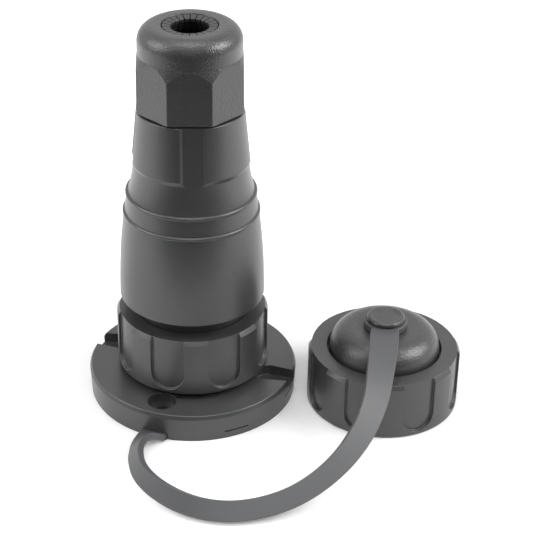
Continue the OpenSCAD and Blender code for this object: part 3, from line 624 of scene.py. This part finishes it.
# Gland nut

def gland_prism(gland, low, high):
    """Eight drafted flats with rounded corners, one of them facing straight ahead."""
    across = (high.x - low.x) / 2
    height = high.z - low.z
    clear_selection()
    bpy.ops.mesh.primitive_cylinder_add(
        vertices=GLAND_SIDES, radius=1.0, depth=2.0, rotation=(0, 0, math.pi / GLAND_SIDES))
    prism = named(bpy.context.object, "gland_prism")
    bpy.ops.object.transform_apply(rotation=True)
    for vertex in prism.data.vertices:
        z = low.z - OVER if vertex.co.z < 0 else high.z + OVER
        flat = across - gland.draft / 2 * (z - low.z) / height
        corner = flat / math.cos(math.pi / GLAND_SIDES)
        vertex.co = (vertex.co.x * corner, vertex.co.y * corner, z)
    for edge in prism.data.edges:
        a, b = (prism.data.vertices[k].co for k in edge.vertices)
        edge.select = abs(a.z - b.z) > height / 2
    bpy.ops.object.mode_set(mode="EDIT")
    bpy.ops.mesh.select_mode(type="EDGE")
    bpy.ops.mesh.bevel(offset=gland.corner, segments=4, affect="EDGES")
    bpy.ops.object.mode_set(mode="OBJECT")
    return face_outwards(prism)


class DECKPLUG_OT_gland(bpy.types.Operator):
    """Gland nut: eight flats that run into a round top with a wide mouth"""
    bl_idname = "deck_plug.gland"
    bl_label = "Gland nut"

    def execute(self, context):
        gland = context.scene.deck_plug.gland
        low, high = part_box("gland_nut")
        corner = (high.x - low.x) / 2 / math.cos(math.pi / GLAND_SIDES)
        shoulder = low.z + gland.flat_h + gland.slope_h
        lip = 2 * MM
        section = rounded([
            (gland.bore, low.z, SMALL), (corner, low.z, EASY), (corner, low.z + gland.flat_h, 0),
            (gland.dome, shoulder, 0.25 * MM), (gland.dome, high.z, gland.dome_round),
            (gland.mouth, high.z, gland.mouth_edge), (gland.mouth, high.z - lip, TINY),
            (gland.claw_bore, low.z + gland.bend_h, 0), (gland.bore, low.z + gland.bore_h, 0)])
        piece = turned("gland_moulding", divided(section, longest=2 * MM))
        combine(piece, gland_prism(gland, low, high), "INTERSECT")
        dress(piece, "moulding", "gland_cover", "gland_nut", crease=math.radians(14), finish="coarse_moulding")
        return {"FINISHED"}


class DECKPLUG_OT_claws(bpy.types.Operator):
    """Ring of claws that closes round the cable under the gland nut"""
    bl_idname = "deck_plug.claws"
    bl_label = "Claws"

    def execute(self, context):
        gland = context.scene.deck_plug.gland
        low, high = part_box("gland_claw")
        outer = (high.x - low.x) / 2
        bend = low.z + gland.claw_straight
        mouth_gap = 0.3 * MM
        tip = gland.mouth - mouth_gap
        tip_h = 1.2 * MM
        dish = 0.5 * MM
        inner = outer - gland.claw_wall
        bend_round = 1 * MM
        section = rounded([
            (inner, low.z, TINY), (outer, low.z, TINY), (outer, bend, bend_round),
            (tip, high.z - tip_h, SMALL), (tip, high.z, 0.25 * MM), (gland.claw_hole, high.z - dish, 0.45 * MM),
            (gland.claw_hole, high.z - dish - tip_h, SMALL), (inner, bend, bend_round)])
        piece = turned("claw_moulding", divided(section, longest=2 * MM))
        foot = low.z + gland.claw_slit_z
        rise = high.z + OVER - foot
        clear_selection()
        bpy.ops.mesh.primitive_cube_add(size=1.0)
        slit = named(context.object, "claw_slit")
        for vertex in slit.data.vertices:
            x, y, z = vertex.co
            vertex.co = (x * gland.claw_slit, (y - 0.5) * (outer + OVER), foot + (z + 0.5) * rise)
        combine(piece, copies_round(face_outwards(slit), gland.claws, 0.0), "DIFFERENCE")
        dress(piece, "sleeve", "gland_cage", "gland_claw")
        return {"FINISHED"}


# Deck flange

def slot_outline(half, reach, count):
    """Outline of a slot with a round inner end, open straight ahead."""
    bow = count - 2
    points = []
    for k in range(bow):
        a = math.pi * k / (bow - 1)
        points.append((half * math.cos(a), half * math.sin(a)))
    return points + [(-half, -reach), (half, -reach)]


def slot_cutter(name, half, reach, layers, out):
    """A slot standing on its floor, at a distance straight ahead, with layers of (spread, level)."""
    count = 34
    outlines = [slot_outline(half + spread, reach, count) for spread, _ in layers]

    def place(point, layer):
        across, back = outlines[layer][point]
        return (across, back - out, layers[layer][1])

    return layered(name, count, len(layers), place)


def slit_cutter(flange, radius, z):
    """A narrow slit that follows the rim, straight ahead."""
    corners = [(-flange.slit_depth, -1), (OVER, -1), (OVER, 1), (-flange.slit_depth, 1)]
    sweep = flange.slit_len / radius
    layers = 9

    def place(point, layer):
        out, side = corners[point]
        turn = sweep * (layer / (layers - 1) - 0.5)
        r = radius + out
        return (r * math.sin(turn), -r * math.cos(turn), z + side * flange.slit_h / 2)

    return layered("slit_cutter", 4, layers, place)


def flange_section(flange, radius, neck_top):
    """Half section of the flange and its neck."""
    foot_r = radius - flange.draft
    top = flange.thickness
    return rounded([
        (flange.bore, 0.0, SMALL), (foot_r, 0.0, flange.soft),
        (radius, top - flange.edge_h, SMALL), (radius - flange.edge, top, 2 * flange.soft),
        (flange.neck, top, SMALL), (flange.neck, neck_top, 0.8 * MM),
        (flange.neck_bore, neck_top, SMALL), (flange.neck_bore, flange.ledge, 0), (flange.bore, flange.ledge, 0)])


class DECKPLUG_OT_flange(bpy.types.Operator):
    """Deck flange with its screw recesses, notches, slits and strap pocket"""
    bl_idname = "deck_plug.flange"
    bl_label = "Deck flange"

    def execute(self, context):
        flange = context.scene.deck_plug.flange
        strap = context.scene.deck_plug.strap
        low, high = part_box("deck_flange")
        # A hair inside the solid, so that the rim stays in its box
        hair = 0.02 * MM
        radius = (high.x - low.x) / 2 - hair
        top = flange.thickness
        section = divided(flange_section(flange, radius, high.z), longest=3 * MM)
        piece = turned("flange_moulding", section, columns=WIDE_COLUMNS)
        self.cut_screws(piece, flange, top)
        notch_floor = top - flange.notch_depth
        notch = slot_cutter(
            "notch_cutter", flange.notch / 2, radius, soft_wall(notch_floor, top, flange.soft), flange.screw_circle)
        side = flange.screw_turn + math.pi / 2
        combine(piece, copies_round(notch, 2, side, (0.0, flange.notch_shift)), "DIFFERENCE")
        low_slit = slit_cutter(flange, radius, flange.slit_z)
        combine(piece, copies_round(low_slit, 2, flange.screw_turn + flange.slit_turn), "DIFFERENCE")
        notch_slit = slit_cutter(flange, radius, notch_floor - flange.slit_drop)
        combine(piece, copies_round(notch_slit, 2, side), "DIFFERENCE")
        room = 0.2 * MM
        pocket = slot_cutter(
            "pocket_cutter", strap.end_width / 2 + room, radius, [(0, -OVER), (0, strap.thickness + room / 2)],
            flange.screw_circle)
        combine(piece, copies_round(pocket, 1, flange.screw_turn), "DIFFERENCE")
        dress(piece, "moulding", "base", "deck_flange")
        return {"FINISHED"}

    @staticmethod
    def cut_screws(piece, flange, top):
        """Two screw holes with recesses for the heads."""
        wall = [(flange.head + spread, level)
                for spread, level in soft_wall(top - flange.head_depth, top, flange.soft)]
        section = [(0.0, -OVER), (flange.screw_hole, -OVER), (flange.screw_hole, top - flange.head_depth)]
        section += wall + [(0.0, wall[-1][1])]
        screw = turned("screw_cutter", section, (0.0, -flange.screw_circle), columns=HOLE_COLUMNS)
        combine(piece, copies_round(screw, 2, flange.screw_turn), "DIFFERENCE")


# Cap dome

class DECKPLUG_OT_cap(bpy.types.Operator):
    """Domed cap with its rim, skirt, stud and dished button"""
    bl_idname = "deck_plug.cap"
    bl_label = "Cap dome"

    def execute(self, context):
        cap = context.scene.deck_plug.cap
        low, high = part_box("cap_dome")
        rim_r = (high.x - low.x) / 2
        button_z = high.z - cap.button_h
        edge = 1.1 * MM
        under = 0.35 * MM
        dish_r = cap.button - edge - 0.15 * MM
        dish_slope = 1.2 * MM
        rim_top = cap.rim_z + cap.rim_h
        inner = cap.dome - cap.wall
        inner_top = cap.dome_top - cap.wall
        section = rounded([
            (0.0, high.z - cap.dish, 0), (dish_r - dish_slope, high.z - cap.dish, 0.8 * MM),
            (dish_r, high.z, 0.1 * MM), (cap.button, high.z, edge), (cap.button, button_z, under),
            (cap.stud, button_z, TINY), (cap.stud, cap.dome_top, SMALL),
            (cap.dome, cap.dome_top, cap.dome_round), (cap.dome, rim_top, SMALL),
            (rim_r, rim_top, SMALL), (rim_r, cap.rim_z, SMALL), (cap.skirt, cap.rim_z, TINY),
            (cap.skirt, low.z, EASY), (inner, low.z, SMALL),
            (inner, inner_top, cap.dome_round - cap.wall), (0.0, inner_top, 0)])
        piece = turned("dome_moulding", divided(section, longest=2 * MM), middle("cap_dome"))
        dress(piece, "moulding", "cap", "cap_dome", finish="coarse_moulding")
        return {"FINISHED"}


# Strap

# The strap's way from the flange's rim to the cap's eyelet, in millimetres: place, tilt in degrees,
# and how much of the end's extra width it has there
STRAP_ROUTE = [
    (-16.6, -41.3, 2.6, 18, 0.6), (-18.5, -44.8, 3.8, 34, 0.3), (-20, -50, 5, 48, 0.12),
    (-20.6, -58, 6.1, 60, 0.1), (-18.8, -67.5, 6.2, 67, 0.05), (-13.5, -76, 5.8, 67, 0),
    (-5.5, -82.8, 5, 60, 0), (4, -87.2, 4.4, 53, 0), (15, -88.8, 4.3, 51, 0),
    (26.3, -87.5, 5.2, 50, 0), (37.5, -84, 7.3, 49, 0), (47.6, -78.3, 10.7, 46, 0.05),
    (56.4, -71, 15.3, 43, 0.2), (63.4, -62, 20.7, 38, 0.4), (68.3, -51.3, 26.5, 26, 0.6),
    (71.1, -39.1, 31.4, 10, 0.8), (73.3, -26, 34.3, 0, 1),
]


def strap_stations(strap, flange, radius):
    """The route in metres, with a flat start in the flange and a flat end in the eyelet."""
    ahead = Vector((math.sin(flange.screw_turn), -math.cos(flange.screw_turn)))
    rim_inset, bury, clear = 0.8 * MM, 2 * MM, 1 * MM
    end_share = 0.8
    rim = ahead * (radius - rim_inset)
    root = strap.thickness / 2
    level = strap.eyelet_z + strap.thickness / 2
    eyelet = Vector(middle("cap_dome"))
    last = Vector(STRAP_ROUTE[-1][:2]) * MM
    towards = (last - eyelet).normalized()
    inner = rim - ahead * bury
    near = eyelet + towards * (strap.eyelet + clear)
    far = eyelet + towards * (strap.eyelet - bury)
    stations = [(inner.x, inner.y, root, 0.0, end_share), (rim.x, rim.y, root, 0.0, end_share)]
    for x, y, z, tilt, share in STRAP_ROUTE:
        stations.append((x * MM, y * MM, z * MM, math.radians(tilt), share))
    return stations + [(near.x, near.y, level, 0.0, 1.0), (far.x, far.y, level, 0.0, end_share)]


def smooth_way(stations, per_span):
    """Points on a smooth curve through the stations."""
    final = len(stations) - 1
    way = []
    for k in range(final * per_span + 1):
        i = min(k // per_span, final - 1)
        t = k / per_span - i
        a, b, c, d = (stations[min(max(i + j, 0), final)] for j in (-1, 0, 1, 2))
        way.append([
            0.5 * (2 * q + (r - p) * t + (2 * p - 5 * q + 4 * r - s) * t * t + (3 * q - p - 3 * r + s) * t ** 3)
            for p, q, r, s in zip(a, b, c, d)])
    return way


def strap_sweep(strap, stations):
    """The free length of the strap, with its section turned by each station's tilt."""
    way = smooth_way(stations, per_span=8)
    corner_count = 4 * (ARC_STEPS + 1)
    final = len(way) - 1
    soft = strap.soft
    # The two buried ends are thinner, so that they stay inside the tab and the eyelet
    buried_trim = 0.2 * MM

    def ring(k):
        x, y, z, tilt, share = way[k]
        tilt = max(tilt, 0.0)
        here = Vector((x, y, max(z, strap.thickness / 2)))
        along = (Vector(way[min(k + 1, final)][:3]) - Vector(way[max(k - 1, 0)][:3])).normalized()
        side = Vector((0, 0, 1)).cross(along).normalized()
        up = along.cross(side)
        across = side * math.cos(tilt) + up * math.sin(tilt)
        out = up * math.cos(tilt) - side * math.sin(tilt)
        trim = strap.trim * (1 - share)
        half = (strap.width + (strap.end_width - strap.width) * share) / 2 - trim
        thick = strap.thickness / 2 - (buried_trim if k in (0, final) else trim)
        section = rounded([(-half, -thick, soft), (half, -thick, soft), (half, thick, soft), (-half, thick, soft)])
        return [here + across * u + out * v for u, v in section]

    rings = [ring(k) for k in range(final + 1)]
    return layered("strap_moulding", corner_count, len(rings), lambda point, layer: rings[layer][point])


class DECKPLUG_OT_strap(bpy.types.Operator):
    """Flat moulded strap from the flange's front screw to the cap's stud"""
    bl_idname = "deck_plug.strap"
    bl_label = "Strap"

    def execute(self, context):
        settings = context.scene.deck_plug
        strap, flange = settings.strap, settings.flange
        low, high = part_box("deck_flange")
        radius = (high.x - low.x) / 2
        piece = strap_sweep(strap, strap_stations(strap, flange, radius))
        soft = strap.soft
        top = strap.thickness
        tab_layers = [(-soft, 0.0), (-soft / 4, soft / 4), (0.0, soft), (0.0, top - soft),
                      (-soft / 4, top - soft / 4), (-soft, top)]
        tab_inset = 0.7 * MM
        tab_reach = radius - flange.screw_circle - tab_inset
        tab = slot_cutter("strap_tab", strap.end_width / 2, tab_reach, tab_layers, flange.screw_circle)
        combine(piece, copies_round(tab, 1, flange.screw_turn), "UNION")
        hole = drum("strap_hole", flange.screw_hole, -OVER, top + OVER, (0.0, -flange.screw_circle), HOLE_COLUMNS)
        combine(piece, copies_round(hole, 1, flange.screw_turn), "DIFFERENCE")
        under, over = strap.eyelet_z, strap.eyelet_z + top
        axis = middle("cap_dome")
        eyelet = turned("eyelet", rounded([
            (0.0, under, 0), (strap.eyelet, under, soft), (strap.eyelet, over, soft), (0.0, over, 0)]),
            axis, columns=EYELET_COLUMNS)
        combine(piece, eyelet, "UNION")
        bore = drum("eyelet_bore", strap.eyelet_hole, under - OVER, over + OVER, axis, EYELET_COLUMNS)
        combine(piece, bore, "DIFFERENCE")
        dress(piece, "strap", "base", "strap", crease=math.radians(40))
        return {"FINISHED"}


# Screw threads

def thread(name, body, radius, ridge, pitch, start, end, axis=(0.0, 0.0)):
    """One helical ridge on a round wall, outwards for a positive ridge and inwards for a negative one."""
    sunk = math.copysign(0.1 * MM, ridge)
    base, crest = 0.36 * pitch, 0.14 * pitch
    free_ends = 0.75
    turns = max(1, int((end - start) / pitch - free_ends))
    steps = 96
    foot = start + pitch / 2
    outline = [(radius - sunk, foot - base), (radius + ridge, foot - crest),
               (radius + ridge, foot + crest), (radius - sunk, foot + base)]
    piece = start_circle(name, len(outline))
    for vertex, (r, z) in zip(piece.data.vertices, outline):
        vertex.co = (r, 0.0, z)
    apply_modifier(piece, "SCREW", axis="Z", angle=math.tau, screw_offset=pitch, iterations=turns,
                   steps=steps, render_steps=steps, use_smooth_shade=True)
    piece.data.transform(Matrix.Translation((axis[0], axis[1], 0.0)))
    with editing():
        bpy.ops.mesh.fill_holes(sides=0)
    dress(piece, "moulding", body)


class DECKPLUG_OT_threads(bpy.types.Operator):
    """Screw threads of the neck, the two rings and the gland"""
    bl_idname = "deck_plug.threads"
    bl_label = "Screw threads"

    def execute(self, context):
        settings = context.scene.deck_plug
        sizes, ring, flange, body = settings.threads, settings.ring, settings.flange, settings.body
        neck_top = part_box("deck_flange")[1].z
        foot_room, top_room = 1.5 * MM, 0.5 * MM
        thread("neck_thread", "base", flange.neck, sizes.ridge, sizes.pitch,
               flange.thickness + foot_room, neck_top - top_room)
        # The rings' ridges are lower than the neck's, and the cap's rim lies under its ring's roof
        slack, foot_room = 0.05 * MM, 1 * MM
        for name, node, owner, roof_room in (
                ("nut_thread", "coupling_nut", "nut", 1 * MM), ("cap_thread", "cap_ring", "cap_grip", 6 * MM)):
            low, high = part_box(node)
            thread(name, owner, ring.bore, slack - sizes.ridge, sizes.pitch,
                   low.z + foot_room, high.z - ring.roof - roof_room, middle(node))
        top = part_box("gland_nut")[0].z
        foot_room, top_room = 0.5 * MM, 0.7 * MM
        thread("gland_thread", "plug", body.spigot, sizes.gland_ridge, sizes.gland_pitch,
               top + foot_room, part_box("plug_body")[1].z - top_room)
        return {"FINISHED"}


# Finishes

# Slow patches of tone on mouldings and of tarnish on metal, per metre
PATCHES = 70.0
TARNISH = 400.0
# Usual shifts of tone and gloss on mouldings, and their refraction
TONE_SHIFT = 0.18
GLOSS_SHIFT = 0.10
MOULDED_IOR = 1.6
# Height of the fine rings on turned metal
RING_HEIGHT = 0.004 * MM


def new_group(name, inputs, outputs):
    """An empty shader node group with named sockets; returns it with its two end nodes."""
    group = bpy.data.node_groups.new(name, "ShaderNodeTree")
    for direction, sockets in (("INPUT", inputs), ("OUTPUT", outputs)):
        for socket, kind in sockets:
            group.interface.new_socket(name=socket, in_out=direction, socket_type=f"NodeSocket{kind}")
    return group, group.nodes.new("NodeGroupInput"), group.nodes.new("NodeGroupOutput")


def feed(tree, socket, value):
    """Sets an input to a number, or links an output to it."""
    if isinstance(value, (int, float)):
        socket.default_value = value
    else:
        tree.links.new(value, socket)


def math_node(tree, operation, first, second):
    """A Math node whose inputs are sockets or numbers; returns its output."""
    node = tree.nodes.new("ShaderNodeMath")
    node.operation = operation
    for socket, value in zip(node.inputs, (first, second)):
        feed(tree, socket, value)
    return node.outputs[0]


def noise_node(tree, place, scale, detail):
    """A Noise texture on the given coordinates; scale is a socket or a number."""
    node = tree.nodes.new("ShaderNodeTexNoise")
    node.inputs["Detail"].default_value = detail
    tree.links.new(place, node.inputs["Vector"])
    feed(tree, node.inputs["Scale"], scale)
    return node.outputs["Fac"]


def swing(tree, noise, amount):
    """How far a noise lies from its middle, times an amount."""
    return math_node(tree, "MULTIPLY", math_node(tree, "SUBTRACT", noise, 0.5), amount)


def brightened(tree, base, brightness):
    """A colour times a brightness; returns the output."""
    node = tree.nodes.new("ShaderNodeVectorMath")
    node.operation = "SCALE"
    tree.links.new(base, node.inputs[0])
    tree.links.new(brightness, node.inputs["Scale"])
    return node.outputs[0]


def grain_group():
    """Moulded grain: slow shifts of tone and gloss over a fine pebbled height."""
    group, given, result = new_group(
        "Moulded grain",
        [("Colour", "Color"), ("Tone shift", "Float"), ("Grain per metre", "Float"), ("Roughness", "Float"),
         ("Gloss shift", "Float")],
        [("Colour", "Color"), ("Roughness", "Float"), ("Height", "Float")])
    place = group.nodes.new("ShaderNodeTexCoord").outputs["Object"]
    cloud = noise_node(group, place, PATCHES, detail=3.0)
    pebble = noise_node(group, place, given.outputs["Grain per metre"], detail=1.5)
    cells = group.nodes.new("ShaderNodeTexVoronoi")
    group.links.new(place, cells.inputs["Vector"])
    group.links.new(given.outputs["Grain per metre"], cells.inputs["Scale"])
    tone = swing(group, cloud, given.outputs["Tone shift"])
    fleck = swing(group, pebble, given.outputs["Tone shift"])
    bright = math_node(group, "ADD", math_node(group, "ADD", tone, fleck), 1.0)
    group.links.new(brightened(group, given.outputs["Colour"], bright), result.inputs["Colour"])
    gloss = swing(group, cloud, given.outputs["Gloss shift"])
    group.links.new(math_node(group, "ADD", given.outputs["Roughness"], gloss), result.inputs["Roughness"])
    cell_share = 0.6
    height = math_node(group, "ADD", math_node(group, "MULTIPLY", cells.outputs["Distance"], cell_share), pebble)
    group.links.new(height, result.inputs["Height"])
    return group


def lathe_group():
    """Turned metal: fine rings along the piece's axis and a slow tarnish."""
    group, given, result = new_group(
        "Turned metal", [("Colour", "Color"), ("Roughness", "Float"), ("Rings per metre", "Float")],
        [("Colour", "Color"), ("Roughness", "Float"), ("Height", "Float")])
    place = group.nodes.new("ShaderNodeTexCoord").outputs["Object"]
    split = group.nodes.new("ShaderNodeSeparateXYZ")
    group.links.new(place, split.inputs[0])
    phase = math_node(group, "MULTIPLY", split.outputs["Z"], given.outputs["Rings per metre"])
    rings = math_node(group, "SINE", phase, 0.0)
    tarnish = noise_node(group, place, TARNISH, detail=4.0)
    darkest, tone_span, gloss_span = 0.82, 0.3, 0.15
    bright = math_node(group, "ADD", math_node(group, "MULTIPLY", tarnish, tone_span), darkest)
    group.links.new(brightened(group, given.outputs["Colour"], bright), result.inputs["Colour"])
    rough = math_node(group, "ADD", given.outputs["Roughness"], math_node(group, "MULTIPLY", tarnish, gloss_span))
    group.links.new(rough, result.inputs["Roughness"])
    group.links.new(rings, result.inputs["Height"])
    return group


def shared_group(name, build):
    """A node group that is built the first time it is asked for."""
    return bpy.data.node_groups.get(name) or build()


def new_material(slot, group, bump, values):
    """A material with its group, set to the values, wired to a Principled shader; returns it and the shader."""
    material = bpy.data.materials.new(f"deck_plug_{slot}")
    material.use_nodes = True
    tree = material.node_tree
    shader = tree.nodes["Principled BSDF"]
    effect = tree.nodes.new("ShaderNodeGroup")
    effect.node_tree = group
    for socket, value in values.items():
        effect.inputs[socket].default_value = value
    relief = tree.nodes.new("ShaderNodeBump")
    relief.inputs["Distance"].default_value = bump
    relief.inputs["Strength"].default_value = 1.0
    tree.links.new(effect.outputs["Colour"], shader.inputs["Base Color"])
    tree.links.new(effect.outputs["Roughness"], shader.inputs["Roughness"])
    tree.links.new(effect.outputs["Height"], relief.inputs["Height"])
    tree.links.new(relief.outputs["Normal"], shader.inputs["Normal"])
    return material, shader


def grained_material(slot, rgb, roughness, grain, bump, tone=TONE_SHIFT):
    """Moulded plastic or rubber with a fine grain."""
    group = shared_group("Moulded grain", grain_group)
    material, shader = new_material(slot, group, bump, {
        "Colour": (*rgb, 1.0), "Tone shift": tone, "Grain per metre": 1.0 / grain, "Roughness": roughness,
        "Gloss shift": GLOSS_SHIFT})
    shader.inputs["IOR"].default_value = MOULDED_IOR
    return material


def metal_material(slot, rgb, roughness, rings):
    """Turned or plated metal."""
    group = shared_group("Turned metal", lathe_group)
    material, shader = new_material(slot, group, RING_HEIGHT, {
        "Colour": (*rgb, 1.0), "Roughness": roughness, "Rings per metre": rings})
    shader.inputs["Metallic"].default_value = 1.0
    return material


def make_finish(slot, finish):
    """The material of one of the record's slots, or of the coarse moulding."""
    # Colour, roughness, size and height of the grain, and a shift of tone that isn't the usual one
    grained = {
        "moulding": (finish.moulding, finish.gloss, finish.grain, 0.035 * MM),
        "coarse_moulding": (finish.moulding, finish.gloss, finish.coarse_grain, 0.11 * MM, 0.3),
        "sleeve": (finish.sleeve, 0.45, finish.grain, 0.03 * MM),
        "strap": (finish.strap, 0.52, 0.4 * MM, 0.02 * MM, 0.10),
        "seal": (finish.seal, 0.62, 0.3 * MM, 0.02 * MM),
        "insert": (finish.insert, 0.34, 0.3 * MM, 0.012 * MM),
    }
    if slot in grained:
        return grained_material(slot, *grained[slot])
    # Colour, roughness and rings per metre
    metal = {"contact": (finish.contact, 0.2, 30000.0), "screw": (finish.screw, 0.28, 18000.0)}
    return metal_material(slot, *metal[slot])


def finish_for(slot):
    """The material of a slot, made the first time it is asked for."""
    made = bpy.data.materials.get(f"deck_plug_{slot}")
    return made or make_finish(slot, bpy.context.scene.deck_plug.finish)


class DECKPLUG_OT_finishes(bpy.types.Operator):
    """Materials of the frame's own pieces, by the slots of its record"""
    bl_idname = "deck_plug.finishes"
    bl_label = "Finishes"

    def execute(self, context):
        for part in frame["record"]["subparts"]:
            node = frame["nodes"][part["node"]]
            node.data.materials.clear()
            node.data.materials.append(finish_for(part["material_slot"]))
        return {"FINISHED"}


# Stage

# Painted light: the floor's glow grows from the first distance to the second from this place, and further off it
# washes out the lamps' shadows on the floor
GLOW_CENTRE = (0.05, -0.02, 0.0)
GLOW_REACH = (0.06, 0.28)
# Where reflections brighten, from the camera's side towards the far side
FRONT_RAMP = (-0.95, -0.2)
# Length and width of the floor
FLOOR_SIZE = 4.0


def light_paths(tree):
    """Two outputs: one is 1 for camera rays, the other for glossy and transmission rays."""
    path = tree.nodes.new("ShaderNodeLightPath").outputs
    return path["Is Camera Ray"], math_node(tree, "MAXIMUM", path["Is Glossy Ray"], path["Is Transmission Ray"])


def map_range(tree, value, start, goal, kind="LINEAR"):
    """Maps the range start to the range goal; returns the output."""
    node = tree.nodes.new("ShaderNodeMapRange")
    node.interpolation_type = kind
    for socket, number in zip(("From Min", "From Max", "To Min", "To Max"), (*start, *goal)):
        node.inputs[socket].default_value = number
    tree.links.new(value, node.inputs["Value"])
    return node.outputs["Result"]


def stand(name, data, place, turn):
    """Puts a lamp or a camera into the scene and returns its object."""
    holder = bpy.data.objects.new(name, data)
    holder.location = place
    holder.rotation_euler = turn
    bpy.context.scene.collection.objects.link(holder)
    return holder


def softbox(name, watts, place, aim, width, height, spread=math.pi):
    """A rectangular area lamp that faces a point."""
    lamp = bpy.data.lights.new(name, "AREA")
    lamp.shape = "RECTANGLE"
    lamp.energy = watts
    lamp.size = width
    lamp.size_y = height
    lamp.spread = spread
    stand(name, lamp, place, (Vector(aim) - Vector(place)).to_track_quat("-Z", "Y").to_euler())


def floor_material(rgb, near_glow, far_glow):
    """Pale floor that takes shadows and is brighter, up to white, where it is seen directly; this glow is painted
    light that grows away from the plug and washes out the far shadows.
    """
    material = bpy.data.materials.new("studio_floor")
    material.use_nodes = True
    tree = material.node_tree
    tree.nodes.clear()
    output = tree.nodes.new("ShaderNodeOutputMaterial")
    paint = tree.nodes.new("ShaderNodeBsdfDiffuse")
    paint.inputs["Color"].default_value = (*rgb, 1.0)
    glow = tree.nodes.new("ShaderNodeEmission")
    reach = tree.nodes.new("ShaderNodeVectorMath")
    reach.operation = "DISTANCE"
    reach.inputs[1].default_value = GLOW_CENTRE
    tree.links.new(tree.nodes.new("ShaderNodeTexCoord").outputs["Object"], reach.inputs[0])
    # Painted light: low glow near the plug keeps the shadow between the flange and the cap, higher glow further off
    # hides the lamps' shadows
    spread = map_range(tree, reach.outputs["Value"], GLOW_REACH, (near_glow, far_glow))
    seen = math_node(tree, "MAXIMUM", *light_paths(tree))
    tree.links.new(math_node(tree, "MULTIPLY", seen, spread), glow.inputs["Strength"])
    both = tree.nodes.new("ShaderNodeAddShader")
    tree.links.new(paint.outputs[0], both.inputs[0])
    tree.links.new(glow.outputs[0], both.inputs[1])
    tree.links.new(both.outputs[0], output.inputs["Surface"])
    return material


def studio_world(sky, front):
    """White where it is seen directly, dim on the camera's side in reflections, a weak even light otherwise."""
    world = bpy.data.worlds.new("studio")
    world.use_nodes = True
    tree = world.node_tree
    background = tree.nodes["Background"]
    background.inputs["Color"].default_value = (1.0, 1.0, 1.0, 1.0)
    split = tree.nodes.new("ShaderNodeSeparateXYZ")
    tree.links.new(tree.nodes.new("ShaderNodeTexCoord").outputs["Generated"], split.inputs[0])
    ramp = map_range(tree, split.outputs["Y"], FRONT_RAMP, (front, 1.0), "SMOOTHSTEP")
    camera, sharp = light_paths(tree)
    mirrored = math_node(tree, "MULTIPLY", sharp, ramp)
    direct = math_node(tree, "MAXIMUM", camera, mirrored)
    tree.links.new(math_node(tree, "MAXIMUM", direct, sky), background.inputs["Strength"])
    return world


class DECKPLUG_OT_stage(bpy.types.Operator):
    """Camera at the photograph's angle, softboxes, pale floor and white background"""
    bl_idname = "deck_plug.stage"
    bl_label = "Stage"

    def execute(self, context):
        stage = context.scene.deck_plug.stage
        scene = context.scene
        scene.view_settings.view_transform = "Standard"
        scene.world = studio_world(stage.sky, stage.front)
        clear_selection()
        floor_middle = FLOOR_SIZE / 2 - stage.floor_front
        bpy.ops.mesh.primitive_plane_add(size=FLOOR_SIZE, location=(0.0, floor_middle, 0.0))
        bpy.ops.object.transform_apply(location=True)
        floor = named(context.object, "floor")
        floor.data.materials.append(floor_material(stage.floor, stage.floor_glow, stage.far_glow))
        aim = (0.03, -0.02, 0.05)
        softbox("right_softbox", stage.right_lamp, (0.76, -0.12, 0.66), aim, 0.5, 0.5)
        softbox("left_softbox", stage.left_lamp, (-0.75, -0.08, 0.62), aim, 0.6, 0.6)
        softbox("top_softbox", stage.top_lamp, (0.0, -0.08, 1.15), aim, 0.65, 0.65)
        strap_front = (0.03, -0.09, 0.0)
        softbox("front_softbox", stage.front_lamp, (0.04, -0.32, 0.30), strap_front, 0.3, 0.1, math.radians(60))
        camera = bpy.data.cameras.new("camera")
        camera.lens = stage.lens
        camera.shift_x, camera.shift_y = stage.shift
        scene.camera = stand("camera", camera, stage.camera_at, (math.pi / 2 - stage.pitch, 0.0, 0.0))
        return {"FINISHED"}


# Panel and registration

OPERATORS = (
    DECKPLUG_OT_finishes, DECKPLUG_OT_rings, DECKPLUG_OT_body, DECKPLUG_OT_gland, DECKPLUG_OT_claws,
    DECKPLUG_OT_flange, DECKPLUG_OT_cap, DECKPLUG_OT_strap, DECKPLUG_OT_threads, DECKPLUG_OT_stage,
)


class DECKPLUG_PT_sidebar(bpy.types.Panel):
    """Lists the steps that build the deck plug"""
    bl_idname = "DECKPLUG_PT_sidebar"
    bl_label = "Deck Plug"
    bl_space_type = "VIEW_3D"
    bl_region_type = "UI"
    bl_category = "Deck Plug"

    def draw(self, context):
        for step in OPERATORS:
            self.layout.operator(step.bl_idname)


CLASSES = (
    DeckPlugRing, DeckPlugBody, DeckPlugGland, DeckPlugFlange, DeckPlugCap, DeckPlugStrap, DeckPlugThreads,
    DeckPlugFinish, DeckPlugStage, DeckPlugSettings, *OPERATORS, DECKPLUG_PT_sidebar,
)


def register():
    """Registers the classes and hangs the settings on the scene."""
    for cls in CLASSES:
        bpy.utils.register_class(cls)
    bpy.types.Scene.deck_plug = PointerProperty(type=DeckPlugSettings)


def unregister():
    """Takes the settings and the classes away again."""
    del bpy.types.Scene.deck_plug
    for cls in reversed(CLASSES):
        bpy.utils.unregister_class(cls)


def main():
    """Builds everything in order."""
    register()
    for step in OPERATORS:
        group, operator = step.bl_idname.split(".")
        getattr(getattr(bpy.ops, group), operator)()


if __name__ == "__main__":
    main()
